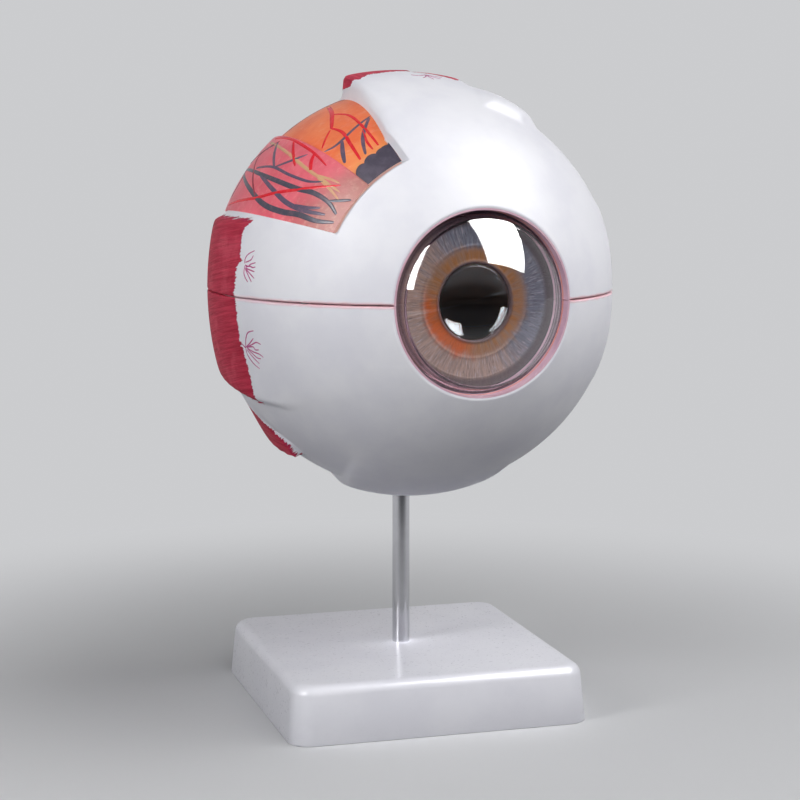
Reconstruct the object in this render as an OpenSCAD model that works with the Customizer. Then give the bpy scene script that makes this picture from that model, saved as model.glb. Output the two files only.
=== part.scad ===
// Eye anatomy model, about six times life size, on a rod and a square stand.
// A white ball of two half shells, parted along a level seam through the middle, carries the
// cut stumps of the eye muscles in relief. A window in the upper half shows the vascular and
// the nerve coat in layers. The clear cornea, the iris with its ciliary ring, the lens and the
// clear vitreous body lift out.
// Row frame: +Z up, origin on the table under the rod, front of the stand towards -Y.
// Eye frame: origin at the middle of the ball, sight line along -Y, temple side towards -X.

/* [Stand] */
// Edge length of the square stand at the table
base_w = 110; // [90:1:150]
// Height of the stand
base_h = 20.7; // [12:0.1:35]
// Lean of the stand's sides
base_draft = 4.8; // [0:0.1:10]
// Corner radius of the stand in plan, at the table
base_corner = 8; // [6:0.5:15]
// Rounding of the stand's top edge
base_fillet = 4; // [1:0.5:6]
// Wall thickness of the moulding
base_wall = 2.4; // [1.5:0.1:4]
// Diameter of the steel rod
rod_d = 6.4; // [4:0.1:12]

/* [Ball] */
// Outer diameter of the white ball
ball_d = 144.4; // [120:0.1:180]
// Height of the middle of the ball over the table
ball_z = 153.6; // [130:0.1:200]
// Distance from the rod forward to the middle of the ball
ball_forward = 11.6; // [0:0.1:20]
// Turn of the eye on its rod
gaze_turn = 4.6; // [-180:0.1:180]
// Wall of the white shell
sclera_t = 4.5; // [3:0.1:8]
// Wall of the vascular coat
choroid_t = 2; // [1:0.1:4]
// Wall of the nerve coat
retina_t = 1.5; // [1:0.1:3]
// Open line that shows at the seam
seam_gap = 0.45; // [0:0.05:1]

/* [Front of the eye] */
// Radius of the round opening at the front
opening_r = 31.6; // [25:0.1:36]
// Wall of the coloured sleeve that lines the opening
sleeve_t = 0.6; // [0.4:0.1:2]
// Radius of the cornea where it meets its flange
cornea_r = 30; // [24:0.1:30.4]
// Height of the cornea over its flange
cornea_h = 16.9; // [10:0.1:22]
// Radius of the curve of the cornea's cap
cap_r = 40; // [34:0.5:60]
// Lean of the steep foot under that cap
foot_lean = 17; // [5:1:30]
// Distance from the middle of the ball to the front of the flange
flange_y = 60.4; // [56:0.1:64]
// Wall of the cornea
cornea_t = 1.6; // [1:0.1:3]
// Outer radius of the iris
iris_r = 28.6; // [24:0.1:31]
// Radius of the pupil
pupil_r = 12.9; // [5:0.1:18]
// Distance from the middle of the ball to the front of the iris
iris_y = 57.2; // [54:0.1:59]
// Folds round the ciliary ring
cil_folds = 48; // [24:4:72]

/* [Lens and vitreous body] */
// Radius of the lens at its rim
lens_r = 24.4; // [18:0.1:27]
// Height of the front face of the lens
lens_front = 9.5; // [5:0.1:12]
// Height of the back face of the lens
lens_back = 11; // [5:0.1:14]
// Distance from the middle of the ball to the rim of the lens
lens_y = 47; // [40:0.1:50]
// Wall of the hollow vitreous body
vitreous_t = 2.5; // [1.5:0.1:5]

/* [Window in the upper half] */
// Sight-line angle of the window's front edge
win_front = 46; // [35:1:60]
// Distance of the window's top edge from the middle, towards the temple
win_top_x = 24.4; // [10:0.1:40]
// Where the window's top edge begins to flare, towards the front
win_flare_y = -38; // [-50:1:0]
// Flare of the window's top edge
win_flare = 15; // [0:1:30]
// Distance of the side under the window's lower edge from the middle
win_low = 9.4; // [5:0.1:30]
// Lean of that side
win_low_lean = 16.4; // [0:0.1:30]
// How far the window reaches behind the middle
win_back_y = 40; // [0:1:55]
// Angle at which the vascular layer ends and the nerve layer shows
layer_split = 49; // [30:1:65]

/* [Muscles and nerve] */
// How far the straight muscles reach behind the middle
muscle_back = 33; // [15:1:45]
// How far the upper one reaches
upper_back = 9.5; // [5:0.5:45]
// Radius of the optic nerve's sheath
nerve_r = 10.5; // [6:0.1:14]
// Distance from the middle of the ball to the nerve's cut end
nerve_end = 90; // [76:1:120]
// Angle of the nerve towards the nose
nerve_angle = 15; // [0:1:25]

/* [Hidden] */
$fn = 96;

white = [0.93, 0.93, 0.95];
crimson = [0.70, 0.20, 0.27];
coat_pink = [0.82, 0.50, 0.52];
coat_orange = [0.95, 0.55, 0.33];
steel = [0.72, 0.73, 0.75];
clear = [0.85, 0.92, 0.95, 0.35];

R = ball_d / 2;
choroid_ro = R - sclera_t;
retina_ro = choroid_ro - choroid_t;
inner_r = retina_ro - retina_t;
vit_r = inner_r - 0.6;
flange_r = opening_r - sleeve_t - 0.3;
ledge_y = flange_y - cornea_t;
lens_fr = (lens_r * lens_r + lens_front * lens_front) / (2 * lens_front);
lens_br = (lens_r * lens_r + lens_back * lens_back) / (2 * lens_back);
big = 200;
pin_az = [-38, 38, 128, 218];
// The bush stands in the lower shell's wall on the rod's axis and ends under the nerve coat.
bush_top = -retina_ro;
rod_top = bush_top - 1;

// ---- frames and helpers ----

// Eye frame into the row frame.
module in_eye() {
    translate([0, 0, ball_z]) rotate([0, 0, gaze_turn]) translate([0, -ball_forward, 0]) children();
}

// Turns a shape made round Z into one round the sight line, with +Z to the front.
module on_sight() { rotate([90, 0, 0]) children(); }

module above(z = 0) { translate([-big, -big, z]) cube([2 * big, 2 * big, big]); }
module below(z = 0) { translate([-big, -big, z - big]) cube([2 * big, 2 * big, big]); }

// ---- stand ----

// A square block with leaning sides, round corners and a round top edge.
module base_block(w, rc, h, rf) {
    s = w / 2 - rc;
    // the rounding touches the top and the leaning side
    cx = rc - (h - rf) * tan(base_draft) - rf / cos(base_draft);
    hull() for (x = [-s, s], y = [-s, s]) translate([x, y, 0]) {
        cylinder(r = rc, h = 0.01, $fn = 32);
        translate([0, 0, h - rf]) rotate_extrude($fn = 32) intersection() {
            translate([cx, 0]) circle(r = rf, $fn = 32);
            square([rc + rf, rf]);
        }
    }
}

// The stand is a moulding, open underneath. A boss that reaches down to the table holds the
// rod's foot, with a pocket for the screw's head, and four ribs tie it to the walls.
module base() {
    color(white)
    difference() {
        union() {
            difference() {
                base_block(base_w, base_corner, base_h, base_fillet);
                translate([0, 0, -1])
                    base_block(base_w - 2 * base_wall + 0.1, base_corner - base_wall,
                        base_h - base_wall + 1, base_fillet - base_wall / 2);
            }
            cylinder(r = 8.5, h = base_h - base_wall / 2);
            for (a = [0, 90]) rotate([0, 0, a])
                translate([-base_w / 2 + base_wall + 0.6, -0.9, 7])
                    cube([base_w - 2 * base_wall - 1.2, 1.8, base_h - 7 - base_wall / 2]);
        }
        translate([0, 0, 8]) cylinder(d = rod_d, h = base_h);
        translate([0, 0, -1]) cylinder(r = 2.2, h = 12);
        translate([0, 0, -1]) cylinder(r = 6.3, h = 6.5);
    }
}

module rod() {
    color(steel)
    difference() {
        union() {
            translate([0, 0, 8]) cylinder(d = rod_d, h = ball_z + rod_top - 8 - 0.6);
            translate([0, 0, ball_z + rod_top - 0.6])
                cylinder(d1 = rod_d, d2 = rod_d - 1.2, h = 0.6);
        }
        translate([0, 0, 7]) cylinder(r = 2.02, h = 13);
    }
}

module rod_washer() {
    color(steel)
    translate([0, 0, 4.5]) difference() {
        cylinder(r = 6, h = 1);
        translate([0, 0, -1]) cylinder(r = 2.2, h = 3);
    }
}

module rod_screw() {
    color([0.55, 0.56, 0.58])
    difference() {
        union() {
            translate([0, 0, 1.8]) cylinder(r1 = 3.1, r2 = 3.8, h = 1);
            translate([0, 0, 2.8]) cylinder(r = 3.8, h = 1.7);
            translate([0, 0, 4.5]) cylinder(r = 2, h = 14);
        }
        for (a = [0, 90]) rotate([0, 0, a]) translate([-2.4, -0.5, 0]) cube([4.8, 1, 3.4]);
    }
}

// ---- relief of the muscles on the white shell ----

// Straight muscle over the top: it leaves the ball like a strap, so it stands higher
// towards the back. Further forward its temple side leans in.
module superior_rectus(front = -45) {
    difference() {
        intersection() {
            translate([-3, 20, -23.9]) sphere(r = 102.9);
            translate([0, upper_back, 0]) rotate([90, 0, 0]) linear_extrude(upper_back - front)
                polygon([[-win_top_x, 30], [-win_top_x, 67], [-21.6, 84], [20, 84], [23.5, 60], [23.5, 30]]);
        }
        translate([-win_top_x, 6, 76]) rotate([0, 0, 202.7]) rotate([0, 47.3, 0]) above();
    }
}

// Straight muscle at the temple side: a barrel-shaped strap across the seam.
module lateral_rectus(front = -50) {
    intersection() {
        translate([0, 5, 0]) rotate_extrude()
            intersection() {
                translate([-47.5, 0]) circle(r = 120);
                translate([0, -50]) square([90, 100]);
            }
        translate([-95, front, 0]) rotate([0, 90, 0])
            linear_extrude(60) intersection() {
                polygon([[-26.2, -50 - front], [26, -50 - front], [33, -40 - front], [36.5, -26 - front],
                    [36, -12 - front], [31, 20 - front], [30.5, muscle_back - front],
                    [-26.2, muscle_back - front]]);
                translate([-50, 0]) square([100, muscle_back - front]);
            }
    }
}

// Straight muscle at the nose side.
module medial_rectus(front = -60) {
    intersection() {
        translate([0, 4, 0]) sphere(r = 74);
        translate([20, front, -31]) cube([90, muscle_back - 4 - front, 62]);
    }
}

// Straight muscle underneath, wider towards its end at the front.
module inferior_rectus(front = -50) {
    intersection() {
        translate([0, 5, -0.5]) sphere(r = 74.9);
        translate([0, 0, -95]) linear_extrude(60)
            polygon([[-36.5, front], [25, front], [25, muscle_back], [-27, muscle_back],
                [-29.5, -4], [-34, -22]]);
    }
}

// Slanting muscle that comes from the nose side and passes under the upper strap.
module superior_oblique() {
    intersection() {
        sphere(r = R + 3.3);
        translate([0, 0, 40]) linear_extrude(50)
            polygon([[18, -30], [29, -31], [35.5, -27], [37.5, -18], [37.5, 4], [18, 12]]);
    }
}

// Slanting muscle underneath at the back of the temple side.
module inferior_oblique() {
    intersection() {
        sphere(r = R + 2.9);
        rotate([0, -41, 13.6]) translate([-95, 0, 0]) rotate([0, 90, 0])
            linear_extrude(50) polygon([[-12.5, 0], [9.5, 0], [12.6, 6.4], [15, 15], [15, 32], [-12.5, 32]]);
    }
}

// Everything that stands on the ball; painted is the crimson flesh, the rest is tendon.
module muscles_upper(painted) {
    superior_rectus(painted ? -2 : -45);
    lateral_rectus(painted ? -15 : -50);
    medial_rectus(painted ? -6 : -60);
    if (!painted) superior_oblique();
}

module muscles_lower(painted) {
    inferior_rectus(painted ? -2 : -50);
    lateral_rectus(painted ? -15 : -50);
    medial_rectus(painted ? -6 : -60);
    inferior_oblique();
}

// ---- window ----

// The space cut through the upper shell; g draws its sides in.
module window_space(g = 0) {
    x = -win_top_x - g;
    difference() {
        intersection() {
            linear_extrude(big) polygon([[-big, win_back_y - g], [x, win_back_y - g], [x, win_flare_y],
                [x + (big + win_flare_y) * tan(win_flare), -big], [-big, -big]]);
            rotate([0, win_low_lean, 0]) above(win_low + g);
        }
        on_sight() translate([0, 0, 25]) cylinder(r = R * sin(win_front) + g, h = 60);
    }
}

// Ball that the layers in the window follow; it sits back and up, so the layers lie deep at
// the front edge and stand proud behind.
module layer_ball(r) { translate([0, 3.2, 2]) sphere(r = r); }

// ---- white shell ----

module shell_solid(r_in) {
    difference() {
        children();
        sphere(r = r_in);
        on_sight() translate([0, 0, 40]) cylinder(r = opening_r, h = 50);
    }
}

// The nerve's way out at the back; g is clearance.
module nerve_way(g) {
    rotate([0, 0, -nerve_angle]) rotate([-90, 0, 0]) translate([0, 0, 50])
        cylinder(r = nerve_r + g, h = 50);
}

module seam_pin_holes(r, z0, h) {
    for (a = pin_az) rotate([0, 0, a]) translate([R - sclera_t / 2, 0, z0]) cylinder(r = r, h = h);
}

module sclera_lower() {
    in_eye() intersection() {
        below();
        difference() {
            union() {
                color(white) shell_solid(choroid_ro) union() {
                    sphere(r = R);
                    muscles_lower(false);
                }
                color(crimson) difference() {
                    muscles_lower(true);
                    sphere(r = R - 1);
                }
            }
            nerve_way(0);
            seam_pin_holes(1.3, -6, 8);
            translate([0, ball_forward, -R - 20]) cylinder(r = 6, h = 40);
        }
    }
}

module sclera_upper() {
    in_eye() intersection() {
        above();
        difference() {
            union() {
                color(white) shell_solid(choroid_ro) union() {
                    sphere(r = R);
                    muscles_upper(false);
                }
                color(crimson) difference() {
                    muscles_upper(true);
                    sphere(r = R - 1);
                }
            }
            window_space();
            nerve_way(0.3);
            seam_pin_holes(1.6, -1, 6);
            // open line along the seam
            translate([0, 0, -1]) difference() {
                cylinder(r = R + 30, h = 1 + seam_gap);
                translate([0, 0, -1]) cylinder(r = R - 1.6, h = 4);
            }
        }
    }
}

// ---- vascular coat: liner, ledge under the cornea, sleeve in the opening ----

module choroid_solid() {
    difference() {
        sphere(r = choroid_ro);
        sphere(r = retina_ro);
        on_sight() translate([0, 0, ledge_y - cornea_t]) cylinder(r = opening_r, h = 30);
    }
    intersection() {
        sphere(r = choroid_ro);
        on_sight() translate([0, 0, ledge_y - cornea_t]) difference() {
            cylinder(r = opening_r + 4, h = cornea_t);
            translate([0, 0, -1]) cylinder(r = iris_r + 0.3, h = 5);
        }
    }
    on_sight() translate([0, 0, ledge_y - 0.2]) difference() {
        cylinder(r = opening_r, h = sqrt(R * R - opening_r * opening_r) - ledge_y);
        translate([0, 0, -1]) cylinder(r = opening_r - sleeve_t, h = 20);
    }
}

module choroid_lower() {
    color(coat_pink)
    in_eye() difference() {
        intersection() {
            choroid_solid();
            below(-0.1);
        }
        nerve_way(0);
        translate([0, ball_forward, -R - 20]) cylinder(r = 6, h = 40);
    }
}

module choroid_upper() {
    color(coat_pink)
    in_eye() difference() {
        intersection() {
            choroid_solid();
            above(0.1);
        }
        nerve_way(0.3);
    }
}

// ---- nerve coat ----

module retina_solid() {
    difference() {
        sphere(r = retina_ro);
        sphere(r = inner_r);
        // it ends at the ora, well behind the lens
        on_sight() translate([0, 0, 44]) cylinder(r = 80, h = 40);
    }
}

module retina_lower() {
    color(coat_orange)
    in_eye() difference() {
        intersection() {
            retina_solid();
            below(-0.1);
        }
        nerve_way(-nerve_r + 4.6);
    }
}

module retina_upper() {
    color(coat_orange)
    in_eye() difference() {
        intersection() {
            retina_solid();
            above(0.1);
        }
        nerve_way(-nerve_r + 5);
    }
}

module rod_bush() {
    color([0.80, 0.66, 0.36])
    in_eye() translate([0, ball_forward, 0]) difference() {
        intersection() {
            translate([0, 0, -R - 8]) cylinder(r = 6, h = R + 8 + bush_top);
            translate([0, 5 - ball_forward, -0.5]) sphere(r = 74.9);
        }
        translate([0, 0, -R - 9]) cylinder(r = rod_d / 2 + 0.05, h = R + 9 + rod_top);
    }
}

module seam_pins() {
    color(steel)
    in_eye() for (a = pin_az) rotate([0, 0, a]) translate([R - sclera_t / 2, 0, -6]) {
        cylinder(r = 1.3, h = 9.4);
        translate([0, 0, 9.4]) cylinder(r1 = 1.3, r2 = 0.7, h = 0.6);
    }
}

// ---- optic nerve ----

module along_nerve() {
    in_eye() rotate([0, 0, -nerve_angle]) rotate([-90, 0, 0]) children();
}

module nerve_sheath() {
    color([0.90, 0.84, 0.72])
    along_nerve() difference() {
        translate([0, 0, 66]) cylinder(r = nerve_r, h = nerve_end - 66);
        translate([0, 0, 60]) cylinder(r = nerve_r - 1.8, h = 50);
    }
}

module nerve_core() {
    color([0.96, 0.86, 0.52])
    along_nerve() difference() {
        union() {
            translate([0, 0, 66]) cylinder(r = nerve_r - 1.8, h = nerve_end - 66 - 0.8);
            intersection() {
                translate([0, 0, 60]) cylinder(r = 4.6, h = 10);
                difference() {
                    sphere(r = 69);
                    sphere(r = inner_r);
                }
            }
        }
        for (s = [-1, 1]) translate([1.35 * s, 0, 60]) cylinder(r = 1.1, h = 50);
    }
}

module nerve_vessel(s) {
    along_nerve() translate([1.35 * s, 0, inner_r + 0.2])
        cylinder(r = 1.1, h = nerve_end - inner_r + 1);
}

module central_artery() { color([0.80, 0.10, 0.12]) nerve_vessel(-1); }

module central_vein() { color([0.20, 0.25, 0.60]) nerve_vessel(1); }

// ---- layers in the window ----

// All that lies below the plane where the vascular layer ends.
module temple_side() { rotate([0, layer_split, 0]) below(); }

module retina_window() {
    color(coat_orange)
    in_eye() difference() {
        intersection() {
            window_space(0.15);
            layer_ball(R - 2.5);
        }
        sphere(r = choroid_ro);
    }
}

module choroid_window() {
    color([0.90, 0.45, 0.50])
    in_eye() intersection() {
        window_space(0.15);
        temple_side();
        difference() {
            layer_ball(R - 1.1);
            layer_ball(R - 2.5);
        }
    }
}

// Dark rim of the ciliary body with its scalloped hind edge.
module ora_window() {
    color([0.29, 0.27, 0.32])
    in_eye() intersection() {
        window_space(0.15);
        rotate([0, layer_split, 0]) above(0.1);
        difference() {
            layer_ball(R - 1.8);
            layer_ball(R - 2.5);
        }
        on_sight() translate([0, 0, 30]) linear_extrude(40) difference() {
            circle(r = 57.5);
            for (a = [90:5.4:135]) rotate(a) translate([58.6, 0]) circle(r = 2.2);
        }
    }
}

// ---- front pieces ----

// Outer form of the cornea, or its inside with d as the wall: a cap on a steep foot.
module cornea_form(d) {
    r = cornea_r - d / cos(foot_lean);
    intersection() {
        translate([0, 0, flange_y + cornea_h - cap_r]) sphere(r = cap_r - d);
        translate([0, 0, ledge_y - 1]) cylinder(r1 = r + (cornea_t + 1) * tan(foot_lean),
            r2 = r - 20 * tan(foot_lean), h = 21 + cornea_t);
    }
}

module cornea() {
    color(clear)
    in_eye() on_sight() difference() {
        union() {
            translate([0, 0, ledge_y]) cylinder(r = flange_r, h = cornea_t);
            intersection() {
                cornea_form(0);
                above(ledge_y + cornea_t / 2);
            }
        }
        cornea_form(cornea_t);
    }
}

// Disc with a raised collar two thirds out and a lip round the pupil.
module iris() {
    color([0.55, 0.42, 0.35])
    in_eye() on_sight() translate([0, 0, iris_y]) rotate_extrude()
        polygon([[pupil_r, -1.4], [iris_r, -1.4], [iris_r, 0], [iris_r * 0.9, 0.1],
            [iris_r * 0.66, 0.35], [iris_r * 0.62, 0.15], [pupil_r + 1.6, 0.25],
            [pupil_r + 0.5, 0.7], [pupil_r, 0.6]]);
}

// One fold of the ciliary body, seen from the side: x is distance from the sight line.
module ciliary_fold() {
    rotate([90, 0, 0]) translate([0, 0, -0.45]) linear_extrude(0.9)
        polygon([[27.3, -9.4], [27.3, -0.3], [25.2, -0.8], [24.95, -2.2], [25.4, -4.2],
            [26.4, -7.6]]);
}

module ciliary_ring() {
    color([0.30, 0.24, 0.27])
    in_eye() on_sight() translate([0, 0, iris_y - 1.4]) {
        rotate_extrude()
            polygon([[27.1, -9.8], [iris_r - 0.5, -10], [iris_r, -9.2], [iris_r, 0], [26.4, 0],
                [26.9, -1.4]]);
        for (k = [0:cil_folds - 1]) rotate([0, 0, k * 360 / cil_folds]) ciliary_fold();
    }
}

// The lens is thicker behind; a short boss on it fills the pupil.
module lens() {
    color(clear)
    in_eye() on_sight() translate([0, 0, lens_y]) {
        intersection() {
            translate([0, 0, lens_front - lens_fr]) sphere(r = lens_fr);
            translate([0, 0, lens_br - lens_back]) sphere(r = lens_br);
        }
        intersection() {
            cylinder(r = pupil_r - 0.3, h = ledge_y - lens_y - 0.4);
            translate([0, 0, ledge_y - lens_y - 0.4 - 60]) sphere(r = 60);
        }
    }
}

// ---- vitreous body: a hollow clear ball in two glued halves ----

module vitreous_solid(d) {
    difference() {
        sphere(r = vit_r - d);
        // room for the iris and the ciliary ring
        on_sight() translate([0, 0, lens_y - 1.5 - d]) cylinder(r = iris_r + 0.6 + d, h = 40);
        on_sight() translate([0, 0, iris_y - 1.9 - d]) cylinder(r = 60, h = 40);
        // bowl that takes the back of the lens
        on_sight() translate([0, 0, lens_y + lens_br - lens_back]) sphere(r = lens_br + 0.3 + d);
    }
}

module vitreous_wall() {
    difference() {
        vitreous_solid(0);
        vitreous_solid(vitreous_t);
    }
}

module vitreous_front() {
    color(clear) in_eye() intersection() {
        vitreous_wall();
        on_sight() above(0);
    }
}

module vitreous_back() {
    color(clear) in_eye() intersection() {
        vitreous_wall();
        on_sight() below(0);
    }
}

base();
rod();
rod_washer();
rod_screw();
sclera_lower();
choroid_lower();
retina_lower();
rod_bush();
seam_pins();
nerve_sheath();
nerve_core();
central_artery();
central_vein();
sclera_upper();
choroid_upper();
retina_upper();
choroid_window();
retina_window();
ora_window();
cornea();
iris();
ciliary_ring();
lens();
vitreous_front();
vitreous_back();
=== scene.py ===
"""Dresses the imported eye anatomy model: shells, coats, vessels, clear pieces, stand and studio.

All meshes are worked out in millimetres. Pieces of the eye use the eye frame: its origin is the
middle of the ball, the sight line runs along -Y, the temple side is -X and up is +Z.
A polar angle is counted from the sight line, a meridian from the temple side (0) over the top (90).
"""

import logging
import math
from dataclasses import dataclass, field
from enum import Enum
from typing import Callable, Iterable, Optional, Sequence

import bmesh
import bpy
import numpy as np
from mathutils import Matrix, Vector


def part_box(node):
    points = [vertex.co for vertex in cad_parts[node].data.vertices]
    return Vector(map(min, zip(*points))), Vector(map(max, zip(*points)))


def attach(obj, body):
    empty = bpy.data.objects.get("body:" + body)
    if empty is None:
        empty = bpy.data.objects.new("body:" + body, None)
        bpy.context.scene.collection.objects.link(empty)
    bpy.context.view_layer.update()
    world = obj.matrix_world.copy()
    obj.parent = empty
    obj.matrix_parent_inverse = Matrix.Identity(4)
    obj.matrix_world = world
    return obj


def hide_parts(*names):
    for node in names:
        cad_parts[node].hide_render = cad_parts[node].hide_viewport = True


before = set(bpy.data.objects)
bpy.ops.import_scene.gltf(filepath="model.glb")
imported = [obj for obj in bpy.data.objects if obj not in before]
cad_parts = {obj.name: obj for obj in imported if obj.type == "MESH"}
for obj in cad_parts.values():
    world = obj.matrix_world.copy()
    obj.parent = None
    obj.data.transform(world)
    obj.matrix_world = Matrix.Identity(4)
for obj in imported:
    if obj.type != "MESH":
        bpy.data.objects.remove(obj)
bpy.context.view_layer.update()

log = logging.getLogger("eye_model")

MM = 0.001
# Fields of the shell: a place outside a strap's outline, a place with no paint near it, and
# what is added to the distance from the window on the window's walls.
OUTSIDE = -50.0
UNPAINTED = -30.0
WALL_MARK = 0.35
Colour = tuple[float, float, float]
Point = tuple[float, float, float]


class Body(Enum):
    """The bodies that the pieces made here ride on."""

    STAND = "stand"
    LOWER = "globe_lower"
    UPPER = "globe_upper"
    CORNEA = "cornea"
    IRIS = "iris"
    LENS = "lens"


class Half(Enum):
    """The two white half shells; the value is the side of the seam."""

    LOWER = -1
    UPPER = 1


# ---------------------------------------------------------------- small helpers


def srgb(red: float, green: float, blue: float) -> tuple[float, float, float, float]:
    """Turns a colour from 0 to 255 into the linear colour that a shader socket takes.

    Args:
        red: Red as displayed, 0 to 255.
        green: Green as displayed, 0 to 255.
        blue: Blue as displayed, 0 to 255.

    Returns:
        The linear colour with an alpha of 1.
    """
    def linear(value: float) -> float:
        """Linear share of one displayed part."""
        part = value / 255
        return part / 12.92 if part <= 0.04045 else ((part + 0.055) / 1.055) ** 2.4

    return linear(red), linear(green), linear(blue), 1.0


def smooth_step(value: np.ndarray, low: float, high: float) -> np.ndarray:
    """Rises smoothly from 0 at low to 1 at high."""
    part = np.clip((value - low) / (high - low), 0, 1)
    return part * part * (3 - 2 * part)


def soft_min(first: np.ndarray, second: np.ndarray, width: float) -> np.ndarray:
    """Smaller of two fields, with the corner between them rounded over width."""
    return 0.5 * (first + second - np.sqrt((first - second) ** 2 + width * width))


def soft_max(first: np.ndarray, second: np.ndarray, width: float) -> np.ndarray:
    """Larger of two fields, with the corner between them rounded over width."""
    return -soft_min(-first, -second, width)


def points_of(bm: bmesh.types.BMesh) -> np.ndarray:
    """Places of all vertices of a bmesh, one row each."""
    return np.array([v.co[:] for v in bm.verts], float).reshape(-1, 3)


def move_to(bm: bmesh.types.BMesh, places: np.ndarray) -> None:
    """Moves every vertex of a bmesh to its row in places."""
    for vert, place in zip(bm.verts, places):
        vert.co = place


def unit(places: np.ndarray) -> np.ndarray:
    """Unit directions from the middle of the ball to places, one row each."""
    return places / np.linalg.norm(places, axis=1)[:, None]


def face_centres(bm: bmesh.types.BMesh) -> np.ndarray:
    """Middles of all faces of a bmesh, one row each."""
    return np.array([f.calc_center_median()[:] for f in bm.faces])


def thicken(bm: bmesh.types.BMesh) -> list[bmesh.types.BMVert]:
    """Extrudes all faces of a bmesh, keeps the old ones, and gives the new vertices."""
    grown = bmesh.ops.extrude_face_region(bm, geom=bm.faces[:], use_keep_orig=True)
    return verts_in(grown)


def verts_in(result: dict) -> list[bmesh.types.BMVert]:
    """Vertices among what a bmesh operator gave back."""
    return [e for e in result["geom"] if isinstance(e, bmesh.types.BMVert)]


def cut_all(bm: bmesh.types.BMesh, origin: Vector, normal: Vector, clear: bool = True,
            dist: float = 0.01) -> None:
    """Cuts a whole bmesh by a plane.

    Args:
        bm: The mesh.
        origin: A place of the plane.
        normal: Its normal.
        clear: Whether what lies past the plane goes.
        dist: Vertices nearer to the plane than this are not cut off.
    """
    bmesh.ops.bisect_plane(bm, geom=bm.verts[:] + bm.edges[:] + bm.faces[:], dist=dist,
                           plane_co=origin, plane_no=normal, clear_outer=clear)


def sharp_edges(bm: bmesh.types.BMesh) -> list[bmesh.types.BMEdge]:
    """Edges of a bmesh that turn by more than 0.9 radians."""
    return [e for e in bm.edges if e.is_manifold and e.calc_face_angle() > 0.9]


def round_edges(bm: bmesh.types.BMesh, edges: list[bmesh.types.BMEdge], offset: float,
                segments: int = 2, clamp: bool = True) -> None:
    """Rounds edges of a bmesh.

    Args:
        bm: The mesh.
        edges: The edges.
        offset: Distance from an edge to where its rounding starts, in millimetres.
        segments: Faces across the rounding.
        clamp: Whether roundings stop where they would meet.
    """
    bmesh.ops.bevel(bm, geom=edges, offset=offset, offset_type="OFFSET", segments=segments,
                    profile=0.5, affect="EDGES", clamp_overlap=clamp, material=-1)


@dataclass(frozen=True)
class EyeFrame:
    """Where the eye sits on its stand, in millimetres and degrees."""

    height: float = 153.6
    forward: float = 11.6
    turn: float = 4.6

    def place(self) -> Matrix:
        """Matrix from the eye frame in millimetres to the row frame in metres."""
        return (
            Matrix.Scale(MM, 4)
            @ Matrix.Translation((0, 0, self.height))
            @ Matrix.Rotation(math.radians(self.turn), 4, "Z")
            @ Matrix.Translation((0, -self.forward, 0))
        )


EYE = EyeFrame()
ROW = Matrix.Scale(MM, 4)
# A shape made round +Z turns to lie round the sight line, its +Z to the front.
ON_SIGHT = Matrix.Rotation(math.radians(90), 4, "X")


# ---------------------------------------------------------------- material wiring


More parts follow.
